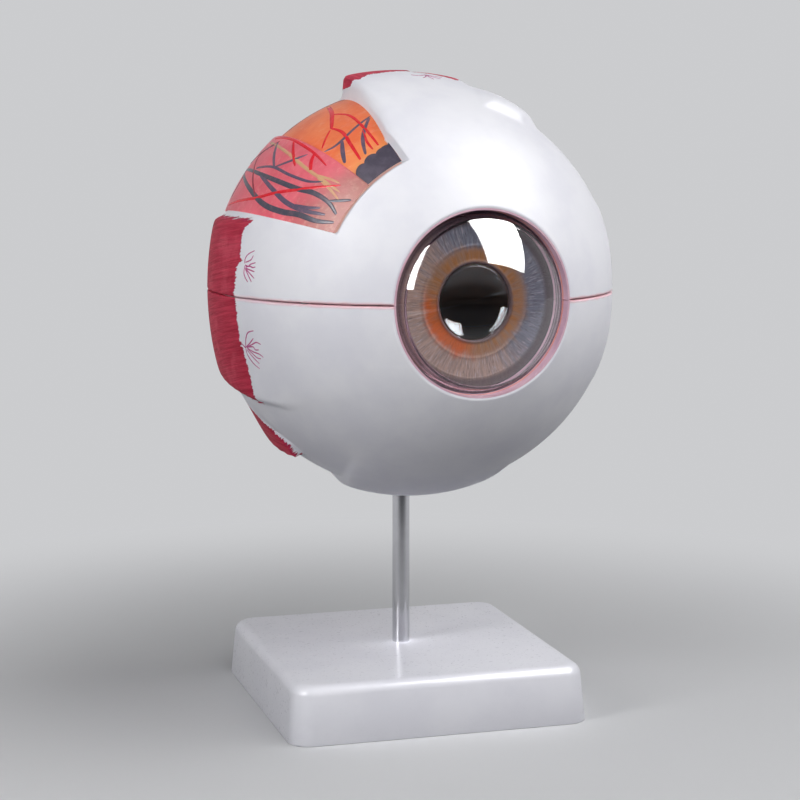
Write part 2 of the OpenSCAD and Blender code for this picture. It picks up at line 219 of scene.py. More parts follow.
class Graph:
    """Short hand for wiring the nodes of one material."""

    def __init__(self, name: str) -> None:
        """Starts an empty material.

        Args:
            name: Name of the material.
        """
        self.material = bpy.data.materials.new(name)
        self.material.use_nodes = True
        self.tree = self.material.node_tree
        self.tree.nodes.clear()
        self.output = self.tree.nodes.new("ShaderNodeOutputMaterial")

    def node(self, kind: str, inputs: Optional[dict] = None, **settings: object) -> bpy.types.Node:
        """Adds a node and fills its inputs.

        Args:
            kind: Type of the node.
            inputs: Input name or number, and the value or the output that feeds it.
            **settings: Properties of the node.

        Returns:
            The new node.
        """
        made = self.tree.nodes.new(kind)
        for key, value in settings.items():
            setattr(made, key, value)
        for key, value in (inputs or {}).items():
            self.feed(made.inputs[key], value)
        return made

    def feed(self, socket: bpy.types.NodeSocket, value: object) -> None:
        """Links value to a socket if it is an output, or else sets it."""
        if isinstance(value, bpy.types.NodeSocket):
            self.tree.links.new(value, socket)
        else:
            socket.default_value = value

    def maths(self, operation: str, first: object, second: object = 0.0) -> bpy.types.NodeSocket:
        """Output of a Math node."""
        return self.node("ShaderNodeMath", {0: first, 1: second}, operation=operation).outputs[0]

    def plus(self, first: object, second: object) -> bpy.types.NodeSocket:
        """Sum of two values."""
        return self.maths("ADD", first, second)

    def times(self, first: object, second: object) -> bpy.types.NodeSocket:
        """Product of two values."""
        return self.maths("MULTIPLY", first, second)

    def swing(self, noise: object, reach: float) -> bpy.types.NodeSocket:
        """Noise moved to swing about zero, over reach from its lowest to its highest value."""
        return self.times(self.maths("SUBTRACT", noise, 0.5), reach)

    def rise(self, value: object, low: float, high: float, start: float = 0.0,
             end: float = 1.0) -> bpy.types.NodeSocket:
        """Output that goes smoothly from start to end while value goes from low to high."""
        made = self.node(
            "ShaderNodeMapRange",
            {"Value": value, "From Min": low, "From Max": high, "To Min": start, "To Max": end},
            interpolation_type="SMOOTHSTEP",
        )
        return made.outputs[0]

    def blend(self, share: object, first: object, second: object) -> bpy.types.NodeSocket:
        """Output of a colour Mix node."""
        made = self.node("ShaderNodeMix", data_type="RGBA")
        self.feed(made.inputs["Factor"], share)
        self.feed(made.inputs[6], first)
        self.feed(made.inputs[7], second)
        return made.outputs[2]

    def noise(self, place: object, scale: float, detail: float = 3.0,
              roughness: float = 0.55) -> bpy.types.NodeSocket:
        """Factor output of a noise texture."""
        made = self.node(
            "ShaderNodeTexNoise",
            {"Vector": place, "Scale": scale, "Detail": detail, "Roughness": roughness},
        )
        return made.outputs[0]

    def in_row(self) -> bpy.types.NodeSocket:
        """Place in the row frame, in metres."""
        return self.node("ShaderNodeTexCoord").outputs["Object"]

    def in_eye(self) -> bpy.types.NodeSocket:
        """Place in the eye frame, in millimetres."""
        turn = -math.radians(EYE.turn)
        made = self.node(
            "ShaderNodeMapping",
            {
                "Vector": self.in_row(),
                "Location": (0, EYE.forward, -EYE.height),
                "Rotation": (0, 0, turn),
                "Scale": (1 / MM, 1 / MM, 1 / MM),
            },
        )
        return made.outputs[0]

    def split(self, vector: object) -> tuple[bpy.types.NodeSocket, ...]:
        """The three parts of a vector."""
        made = self.node("ShaderNodeSeparateXYZ", {0: vector})
        return made.outputs[0], made.outputs[1], made.outputs[2]

    def join(self, first: object, second: object, third: object) -> bpy.types.NodeSocket:
        """A vector from three parts."""
        return self.node("ShaderNodeCombineXYZ", {0: first, 1: second, 2: third}).outputs[0]

    def attribute(self, name: str) -> bpy.types.NodeSocket:
        """Vector of a mesh attribute."""
        return self.node("ShaderNodeAttribute", attribute_name=name).outputs["Vector"]

    def bump(self, height: object, depth: float, strength: float = 1.0) -> bpy.types.NodeSocket:
        """Normal from a height, where a height of 1 is depth metres."""
        made = self.node(
            "ShaderNodeBump", {"Height": height, "Distance": depth, "Strength": strength}
        )
        return made.outputs[0]

    def surface(self, inputs: dict) -> None:
        """Puts a Principled shader on the output."""
        made = self.node("ShaderNodeBsdfPrincipled", inputs)
        self.feed(self.output.inputs[0], made.outputs[0])


# ---------------------------------------------------------------- finishes


@dataclass(frozen=True)
class Moulding:
    """Plain moulded plastic or paint with a faint mottle and a slight orange peel."""

    name: str
    colour: Colour
    shade: Colour
    roughness: float = 0.3
    mottle: float = 60.0
    peel: float = 0.00002
    coat: float = 0.0

    def material(self) -> bpy.types.Material:
        """Builds the material."""
        g = Graph(self.name)
        place = g.in_row()
        cloud = g.rise(g.noise(place, self.mottle, 4), 0.35, 0.65)
        fine = g.noise(place, 900.0, 3)
        g.surface({
            "Base Color": g.blend(cloud, srgb(*self.shade), srgb(*self.colour)),
            "Roughness": g.rise(fine, 0.3, 0.7, self.roughness - 0.03, self.roughness + 0.04),
            "Normal": g.bump(g.noise(place, 350.0, 2), self.peel),
            "Specular IOR Level": 0.12,
            "Coat Weight": self.coat,
            "Coat Roughness": 0.08,
        })
        return g.material


@dataclass(frozen=True)
class ShellPaint:
    """White moulding whose muscles are painted crimson by hand.

    The attribute 'paint' holds, in millimetres, the place across and along the muscle's fibres
    and the distance into the painted field. The attribute 'seam' holds the distance from the
    seam, from the opening's lip and from the window, with WALL_MARK added on the window's walls.
    """

    name: str = "shell_paint"
    white: Colour = (238, 238, 244)
    white_shade: Colour = (231, 231, 239)
    crimson: Colour = (206, 62, 86)
    crimson_deep: Colour = (172, 38, 62)
    crimson_light: Colour = (220, 90, 110)
    edge_line: Colour = (168, 40, 92)
    overspill: Colour = (238, 196, 204)
    window_edge: Colour = (240, 176, 156)
    roughness: float = 0.44
    fibre_scale: float = 1.05
    tooth_depth: float = 1.7
    sway_depth: float = 2.4
    coated: float = 0.26
    bare: float = 0.33

    def material(self) -> bpy.types.Material:
        """Builds the material."""
        g = Graph(self.name)
        place = g.in_row()
        across, along, depth = g.split(g.attribute("paint"))
        from_seam, from_lip, from_window = g.split(g.attribute("seam"))
        # teeth of the brush at the front of the paint
        comb = g.noise(g.join(across, g.times(along, 0.07), 0.0), 1.15, 3, 0.75)
        wander = g.noise(g.join(across, along, 4.0), 0.16, 2)
        teeth = g.plus(g.swing(comb, 2.6 * self.tooth_depth), g.swing(wander, self.sway_depth))
        edge = g.plus(depth, teeth)
        painted = g.rise(edge, -0.12, 0.14)
        # streaks that the brush left along the fibres
        fibre = g.noise(g.join(across, g.times(along, 0.045), 1.0), self.fibre_scale, 4, 0.65)
        thin = g.noise(g.join(across, g.times(along, 0.02), 7.0), 3.4, 2, 0.6)
        cloud = g.noise(g.join(across, along, 2.0), 0.09, 3)
        red = g.blend(g.rise(fibre, 0.3, 0.7), srgb(*self.crimson_deep), srgb(*self.crimson))
        red = g.blend(g.rise(cloud, 0.52, 0.72, 0.0, 0.55), red, srgb(*self.crimson_light))
        red = g.blend(g.rise(thin, 0.54, 0.7, 0.0, 0.4), red, srgb(*self.crimson_deep))
        rim = g.times(g.rise(edge, -0.05, 0.15), g.rise(edge, 0.3, 0.9, 1.0, 0.0))
        red = g.blend(g.times(rim, 0.6), red, srgb(*self.edge_line))
        # the white, with pink overspill where the coloured inside meets the seam
        mottle = g.rise(g.noise(place, 45.0, 4), 0.35, 0.65)
        white = g.blend(mottle, srgb(*self.white_shade), srgb(*self.white))
        seam = g.plus(from_seam, g.times(g.noise(place, 160.0, 3), 1.1))
        spill = g.times(g.rise(seam, 0.75, 1.7, 0.9, 0.0), g.rise(from_lip, 20.0, 75.0, 1.0, 0.55))
        white = g.blend(spill, white, srgb(*self.overspill))
        # colour of the coats that ran up against the window's edge
        ragged = g.plus(from_window, g.swing(g.noise(place, 220.0, 3), 0.12))
        stain = g.rise(ragged, self.coated, self.bare, 0.85, 0.0)
        white = g.blend(stain, white, srgb(*self.window_edge))
        ridge = g.times(g.plus(fibre, g.times(thin, 0.6)), painted)
        peel = g.times(g.noise(place, 260.0, 2), 0.05)
        g.surface({
            "Base Color": g.blend(painted, white, red),
            "Roughness": g.rise(painted, 0.0, 1.0, self.roughness, self.roughness + 0.12),
            "Normal": g.bump(g.plus(ridge, peel), 0.0005, 0.8),
            "Specular IOR Level": 0.08,
        })
        return g.material


@dataclass(frozen=True)
class CoatPaint:
    """Glossy hand-painted coat in the window, with a second tone towards the front."""

    name: str
    colour: Colour
    deep: Colour
    front: Colour
    front_from: float
    front_to: float
    roughness: float = 0.36

    def material(self) -> bpy.types.Material:
        """Builds the material."""
        g = Graph(self.name)
        eye = g.in_eye()
        x, y, z = g.split(eye)
        cloud = g.rise(g.noise(eye, 0.11, 4, 0.6), 0.34, 0.66)
        brush = g.noise(g.join(g.times(x, 0.3), y, z), 0.5, 4, 0.6)
        tone = g.blend(cloud, srgb(*self.deep), srgb(*self.colour))
        wave = g.swing(g.noise(eye, 0.14, 3), 12.0)
        ahead = g.maths("SUBTRACT", g.times(y, -1.0), g.times(z, 0.45))
        share = g.rise(g.plus(ahead, wave), self.front_from, self.front_to)
        tone = g.blend(share, tone, srgb(*self.front))
        tone = g.blend(g.rise(brush, 0.5, 0.75, 0.0, 0.18), tone, srgb(255, 214, 196))
        g.surface({
            "Base Color": tone,
            "Roughness": self.roughness,
            "Normal": g.bump(g.plus(brush, g.noise(eye, 0.8, 2)), 0.00006),
            "Specular IOR Level": 0.12,
        })
        return g.material


@dataclass(frozen=True)
class InkPaint:
    """Brush strokes of the vessels: thin where the brush lifted, so the coat shows through."""

    name: str
    colour: Colour
    worn: Colour
    roughness: float = 0.25

    def material(self) -> bpy.types.Material:
        """Builds the material."""
        g = Graph(self.name)
        eye = g.in_eye()
        thin = g.rise(g.noise(eye, 0.35, 5, 0.7), 0.42, 0.72, 0.0, 0.75)
        g.surface({
            "Base Color": g.blend(thin, srgb(*self.colour), srgb(*self.worn)),
            "Roughness": self.roughness,
            "Normal": g.bump(g.noise(eye, 1.6, 3), 0.00005),
            "Specular IOR Level": 0.15,
        })
        return g.material


@dataclass(frozen=True)
class ClearPlastic:
    """Clear cast plastic; light on its way to a matt face goes straight through it."""

    name: str
    tint: Colour = (252, 253, 255)
    index: float = 1.49
    roughness: float = 0.0

    def material(self) -> bpy.types.Material:
        """Builds the material."""
        g = Graph(self.name)
        swirl = g.noise(g.in_eye(), 0.05, 2)
        tint = g.blend(g.rise(swirl, 0.3, 0.7, 0.0, 0.5), srgb(*self.tint), srgb(255, 255, 255))
        glass = g.node("ShaderNodeBsdfPrincipled", {
            "Base Color": tint,
            "Roughness": self.roughness,
            "IOR": self.index,
            "Transmission Weight": 1.0,
        })
        through = g.node("ShaderNodeBsdfTransparent", {"Color": srgb(*self.tint)})
        path = g.node("ShaderNodeLightPath").outputs
        soft = g.maths("MAXIMUM", path["Is Shadow Ray"], path["Is Diffuse Ray"])
        mixed = g.node("ShaderNodeMixShader", {0: soft, 1: glass.outputs[0], 2: through.outputs[0]})
        g.feed(g.output.inputs[0], mixed.outputs[0])
        return g.material


@dataclass(frozen=True)
class IrisPrint:
    """Print of the iris: rings of colour broken up by fine fibres that run outwards."""

    name: str = "iris_print"
    outer_r: float = 28.6
    collar: float = 0.62
    inner: Colour = (164, 108, 62)
    inner_hot: Colour = (204, 94, 38)
    inner_pale: Colour = (150, 116, 96)
    outer_warm: Colour = (176, 146, 132)
    outer_cold: Colour = (126, 127, 140)
    fleck: Colour = (58, 50, 54)
    rim: Colour = (70, 54, 58)

    def material(self) -> bpy.types.Material:
        """Builds the material."""
        g = Graph(self.name)
        x, y, z = g.split(g.in_eye())
        far = g.maths("SQRT", g.plus(g.times(x, x), g.times(z, z)))
        part = g.maths("DIVIDE", far, self.outer_r)
        east = g.maths("DIVIDE", x, far)
        north = g.maths("DIVIDE", z, far)

        def fibres(count: float, stretch: float, seed: float) -> bpy.types.NodeSocket:
            """Noise that runs outwards, finer with a larger count."""
            spot = g.join(g.times(east, count), g.times(north, count),
                          g.plus(g.times(part, stretch), seed))
            return g.noise(spot, 1.0, 4, 0.62)

        coarse = fibres(9.0, 2.2, 0.0)
        fine = fibres(34.0, 5.0, 9.0)
        hair = fibres(70.0, 9.0, 3.0)
        cloud = g.noise(g.join(x, 0.0, z), 0.07, 3)
        # the outer field is cold at the top and nose side, warm at the lower temple side
        lean = g.plus(g.times(x, 0.75), g.times(z, 0.55))
        side = g.rise(g.plus(lean, g.swing(coarse, 26.0)), -9.0, 9.0)
        outer = g.blend(side, srgb(*self.outer_warm), srgb(*self.outer_cold))
        outer = g.blend(g.rise(fine, 0.38, 0.62, 0.42, 0.0), outer, srgb(84, 80, 90))
        outer = g.blend(g.rise(hair, 0.52, 0.68, 0.0, 0.55), outer, srgb(196, 186, 188))
        hot = g.rise(g.maths("SUBTRACT", g.times(cloud, 40.0), lean), 24.0, 40.0)
        inner = g.blend(g.rise(coarse, 0.35, 0.65), srgb(*self.inner_pale), srgb(*self.inner))
        inner = g.blend(hot, inner, srgb(*self.inner_hot))
        inner = g.blend(g.rise(hair, 0.46, 0.64, 0.0, 0.35), inner, srgb(108, 72, 54))
        # ragged change from the inner to the outer field
        reached = g.plus(part, g.swing(coarse, 0.22))
        body = g.blend(g.rise(reached, self.collar - 0.05, self.collar + 0.09), inner, outer)
        dash = g.times(g.rise(fibres(52.0, 7.0, 21.0), 0.6, 0.68), g.rise(part, 0.62, 0.74))
        body = g.blend(g.times(dash, 0.75), body, srgb(*self.fleck))
        ruff = g.rise(g.plus(part, g.times(hair, 0.03)), 0.475, 0.515, 0.85, 0.0)
        body = g.blend(ruff, body, srgb(92, 78, 84))
        limbus = g.rise(g.plus(part, g.times(fine, 0.05)), 0.885, 0.96)
        body = g.blend(g.times(limbus, 0.88), body, srgb(*self.rim))
        g.surface({
            "Base Color": body,
            "Roughness": 0.42,
            "Normal": g.bump(g.plus(fine, coarse), 0.00018),
            "Specular IOR Level": 0.05,
        })
        return g.material


@dataclass(frozen=True)
class Metal:
    """Drawn or turned metal with fine lines along one axis of the row frame."""

    name: str
    colour: Colour
    roughness: float = 0.2
    stretch: Point = (1.0, 1.0, 0.02)

    def material(self) -> bpy.types.Material:
        """Builds the material."""
        g = Graph(self.name)
        lines = g.node("ShaderNodeMapping", {"Vector": g.in_row(), "Scale": self.stretch})
        scratch = g.noise(lines.outputs[0], 2600.0, 3, 0.7)
        smear = g.noise(g.in_row(), 70.0, 3)
        g.surface({
            "Base Color": g.blend(g.rise(smear, 0.4, 0.6, 0.0, 0.25), srgb(*self.colour),
                                  srgb(*(0.86 * part for part in self.colour))),
            "Metallic": 1.0,
            "Roughness": g.rise(scratch, 0.3, 0.7, self.roughness * 0.7, self.roughness * 1.4),
            "Normal": g.bump(scratch, 0.000004),
        })
        return g.material


FINISHES: dict[str, object] = {
    "shell": ShellPaint(),
    "base": Moulding("base_plastic", (234, 234, 241), (228, 228, 236), 0.3, 30.0, 0.00001, 0.1),
    "sleeve": Moulding("sleeve_paint", (222, 184, 198), (210, 170, 186), 0.36, 120.0),
    "peach": Moulding("peach_line", (232, 158, 138), (218, 138, 124), 0.35, 200.0),
    "liner_pink": Moulding("liner_pink", (214, 132, 140), (200, 116, 126), 0.36, 50.0),
    "liner_orange": Moulding("liner_orange", (238, 150, 96), (228, 136, 84), 0.34, 40.0),
    "window_pink": CoatPaint("window_pink", (238, 114, 128), (226, 100, 114), (172, 106, 98),
                             12.0, 30.0),
    "window_orange": CoatPaint("window_orange", (244, 132, 84), (236, 114, 70), (246, 158, 92),
                               4.0, 24.0),
    "dark_rim": Moulding("dark_rim", (80, 72, 88), (64, 58, 74), 0.42, 300.0, 0.00006),
    "artery": InkPaint("artery_ink", (222, 26, 44), (226, 70, 70)),
    "artery_faint": InkPaint("artery_faint", (150, 30, 52), (190, 80, 96)),
    "vein": InkPaint("vein_ink", (92, 82, 104), (128, 96, 116)),
    "vein_dark": InkPaint("vein_dark", (76, 76, 90), (112, 92, 104)),
    "nerve_ink": InkPaint("nerve_ink", (214, 168, 126), (222, 136, 120)),
    "spray": InkPaint("spray_ink", (176, 70, 128), (206, 140, 176), 0.35),
    "clear": ClearPlastic("clear_plastic"),
    "iris": IrisPrint(),
    "limbus": Moulding("limbus_paint", (66, 48, 54), (52, 36, 44), 0.4, 200.0),
    "ciliary": Moulding("ciliary_paint", (84, 66, 74), (62, 50, 58), 0.42, 260.0, 0.00008),
    "steel": Metal("rod_steel", (206, 206, 210), 0.11),
    "steel_dull": Metal("fastener_steel", (168, 170, 174), 0.34, (1.0, 1.0, 1.0)),
    "brass": Metal("bush_brass", (206, 170, 96), 0.3, (0.1, 0.1, 1.0)),
    "nerve_cream": Moulding("nerve_cream", (236, 222, 196), (226, 208, 178), 0.36, 150.0, 0.00008),
    "nerve_yellow": Moulding("nerve_yellow", (242, 214, 128), (226, 190, 98), 0.4, 420.0, 0.0001),
    "vessel_red": Moulding("vessel_red", (204, 34, 44), (184, 24, 36), 0.3, 300.0),
    "vessel_blue": Moulding("vessel_blue", (52, 66, 150), (42, 52, 128), 0.3, 300.0),
}
made_materials: dict[str, bpy.types.Material] = {}


def finish(key: str) -> bpy.types.Material:
    """Material of a finish, built at its first use."""
    if key not in made_materials:
        made_materials[key] = FINISHES[key].material()
    return made_materials[key]


# ---------------------------------------------------------------- making pieces

# Nodes of the frame: vertices closer than this are one, and edges that turn more stay sharp.
NODE_WELD = 0.000002
NODE_SHARP = math.radians(28.0)


def settle(name: str, bm: bmesh.types.BMesh, key: str, body: Body,
           replaced: Sequence[str] = (), sharp: float = 50.0,
           place: Matrix = EYE.place()) -> bpy.types.Object:
    """Turns a bmesh into a piece of the model.

    Args:
        name: Name of the piece.
        bm: Its mesh in millimetres; it is freed.
        key: Its finish.
        body: Body that it rides on.
        replaced: Nodes that it stands for.
        sharp: Edges that turn by more than this angle, in degrees, stay sharp.
        place: Matrix from the mesh to the row frame.

    Returns:
        The new object.
    """
    bm.transform(place)
    mesh = bpy.data.meshes.new(name)
    bm.to_mesh(mesh)
    bm.free()
    piece = bpy.data.objects.new(name, mesh)
    bpy.context.scene.collection.objects.link(piece)
    mesh.shade_smooth()
    mesh.set_sharp_from_angle(angle=math.radians(sharp))
    mesh.materials.append(finish(key))
    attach(piece, body.value)
    if replaced:
        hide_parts(*replaced)
    log.info("%s: %d faces on %s", name, len(mesh.polygons), body.value)
    return piece


def add_vectors(piece: bpy.types.Object, name: str, rows: np.ndarray) -> None:
    """Stores one vector per vertex as a mesh attribute."""
    layer = piece.data.attributes.new(name, "FLOAT_VECTOR", "POINT")
    layer.data.foreach_set("vector", rows.astype(np.float32).ravel())


def dress_node(node: str, key: str) -> None:
    """Gives a node of the frame its finish and smooth shading.

    Args:
        node: Name of the node.
        key: Its finish.
    """
    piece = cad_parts[node]
    piece.data.materials.clear()
    piece.data.materials.append(finish(key))
    weld = piece.modifiers.new("weld", "WELD")
    weld.merge_threshold = NODE_WELD
    split = piece.modifiers.new("split", "EDGE_SPLIT")
    split.split_angle = NODE_SHARP
    even = piece.modifiers.new("even", "WEIGHTED_NORMAL")
    even.keep_sharp = True
    piece.data.shade_smooth()
    log.info("%s: dressed", node)


def lathe(profile: Iterable[tuple[float, float]], steps: int) -> bmesh.types.BMesh:
    """Turns a closed profile of (radius, height) points round +Z.

    Args:
        profile: Points of the profile, in order.
        steps: Steps of the turn.

    Returns:
        The closed mesh.
    """
    bm = bmesh.new()
    verts = [bm.verts.new((radius, 0, height)) for radius, height in profile]
    edges = [bm.edges.new((verts[i - 1], verts[i])) for i in range(len(verts))]
    bmesh.ops.spin(bm, geom=verts + edges, cent=(0, 0, 0), axis=(0, 0, 1), dvec=(0, 0, 0),
                   angle=math.tau, steps=steps, use_merge=True, use_normal_flip=False,
                   use_duplicate=False)
    bmesh.ops.remove_doubles(bm, verts=bm.verts, dist=0.001)
    bmesh.ops.dissolve_degenerate(bm, edges=bm.edges, dist=0.0005)
    bmesh.ops.recalc_face_normals(bm, faces=bm.faces)
    return bm


def arc(radius: float, centre: float, start: float, end: float,
        count: int) -> list[tuple[float, float]]:
    """Points of an arc about (0, centre) between two radii from the axis.

    Args:
        radius: Radius of the arc; a negative one bows downwards.
        centre: Height of its centre.
        start: Distance from the axis of the first point.
        end: Distance from the axis of the last point.
        count: Number of points.

    Returns:
        Points as (distance from the axis, height).
    """
    side = math.copysign(1.0, radius)
    angles = [math.asin(min(1.0, edge / abs(radius))) for edge in (start, end)]
    points = []
    for i in range(count):
        angle = angles[0] + (angles[1] - angles[0]) * i / (count - 1)
        points.append((abs(radius) * math.sin(angle), centre + side * abs(radius) * math.cos(angle)))
    return points


def on_ball(meridian: float, polar: float) -> Vector:
    """Unit direction in the eye frame for a meridian and a polar angle in degrees."""
    m, p = math.radians(meridian), math.radians(polar)
    return Vector((-math.sin(p) * math.cos(m), -math.cos(p), math.sin(p) * math.sin(m)))


@dataclass(frozen=True)
class Ball:
    """A sphere that painted pieces follow, in the eye frame."""

    radius: float
    centre: Point = (0.0, 0.0, 0.0)

    def out_along(self, direction: Vector) -> Vector:
        """Point of the ball in a direction from the middle of the eye."""
        centre = Vector(self.centre)
        ahead = direction.dot(centre)
        reach = math.sqrt(ahead * ahead - centre.length_squared + self.radius * self.radius)
        return direction * (ahead + reach)


@dataclass(frozen=True)
class Stroke:
    """One brush stroke: (meridian, polar) points in degrees, and its widths in millimetres."""

    path: tuple[tuple[float, float], ...]
    width: float = 1.2
    start: float = 0.5
    end: float = 0.2

    def spot(self, share: float) -> Vector:
        """Direction at a share of the stroke's way, on a smooth curve through its points."""
        knots = [on_ball(*self.path[0])] + [on_ball(*p) for p in self.path] + [on_ball(*self.path[-1])]
        spans = len(self.path) - 1
        at = min(int(share * spans), spans - 1)
        t = share * spans - at
        a, b, c, d = knots[at:at + 4]
        bent = (b * 2 + (c - a) * t + (a * 2 - b * 5 + c * 4 - d) * t * t
                + (b * 3 - a - c * 3 + d) * t ** 3)
        return bent.normalized()

    def breadth(self, share: float) -> float:
        """Half width at a share of the way: full in the middle, thinner at both ends."""
        swell = math.sin(math.pi * min(1.0, max(0.0, share))) ** 0.6
        ends = self.start + (self.end - self.start) * share
        return 0.5 * self.width * (ends + (1 - ends) * swell)


def paint_strokes(strokes: Sequence[Stroke], ball: Ball, rise: float) -> bmesh.types.BMesh:
    """Lays flat ribbons of paint on a ball.

    Args:
        strokes: The strokes.
        ball: Ball that they lie on.
        rise: Height of the paint over the ball.

    Returns:
        One mesh with every stroke as a closed ribbon.
    """
    bm = bmesh.new()
    sides = 8
    for stroke in strokes:
        count = max(6, 5 * len(stroke.path))
        loops = []
        for i in range(count + 1):
            share = i / count
            here = ball.out_along(stroke.spot(share))
            ahead = ball.out_along(stroke.spot(min(1.0, share + 0.01)))
            behind = ball.out_along(stroke.spot(max(0.0, share - 0.01)))
            up = (here - Vector(ball.centre)).normalized()
            way = (ahead - behind).normalized()
            side = up.cross(way).normalized()
            turn = Matrix((side * stroke.breadth(share), up * rise, way)).transposed().to_4x4()
            ring = bmesh.ops.create_circle(bm, cap_ends=i in (0, count), segments=sides, radius=1.0,
                                           matrix=Matrix.Translation(here) @ turn)
            members = set(ring["verts"])
            loops.append([e for v in members for e in v.link_edges
                          if set(e.verts) <= members and e.verts[0] is v])
        for first, second in zip(loops, loops[1:]):
            bmesh.ops.bridge_loops(bm, edges=first + second)
    bmesh.ops.recalc_face_normals(bm, faces=bm.faces)
    return bm


# ---------------------------------------------------------------- the white shell


@dataclass(frozen=True)
class Strap:
    """One muscle stump in relief: its top, its outline and its painted field.

    top gives the distance of its upper face from the middle of the ball for unit directions,
    inside the distance in from its outline for places on the ball, and steep the lean of its
    sides. painted gives how far a place lies behind the front of the paint, and fibre the
    coordinates across and along the fibres.
    """

    top: Callable[[np.ndarray], np.ndarray]
    inside: Callable[[np.ndarray], np.ndarray]
    steep: Callable[[np.ndarray], np.ndarray]
    painted: Callable[[np.ndarray], np.ndarray]
    fibre: Callable[[np.ndarray], np.ndarray]
    crown: float = 1.0


def sphere_top(centre: Point, radius: float) -> Callable[[np.ndarray], np.ndarray]:
    """Distance of a sphere's far side from the middle of the ball, along unit directions."""
    middle = np.array(centre)

    def top(ways: np.ndarray) -> np.ndarray:
        """Distance for each direction."""
        ahead = ways @ middle
        return ahead + np.sqrt(np.maximum(ahead ** 2 - middle @ middle + radius ** 2, 1.0))

    return top


def constant(value: float) -> Callable[[np.ndarray], np.ndarray]:
    """Field with one value everywhere."""
    return lambda places: np.full(len(places), value)


def running(across: int) -> Callable[[np.ndarray], np.ndarray]:
    """Fibre coordinates of a strap whose fibres run from front to back: across, then along."""
    return lambda places: places[:, [across, 1]]


def polar_of(places: np.ndarray) -> np.ndarray:
    """Polar angle of places, in degrees."""
    far = np.linalg.norm(places, axis=1)
    return np.degrees(np.arccos(np.clip(-places[:, 1] / far, -1, 1)))


def meridian_of(places: np.ndarray) -> np.ndarray:
    """Meridian of places, in degrees from -180 to 180."""
    return np.degrees(np.arctan2(places[:, 2], -places[:, 0]))


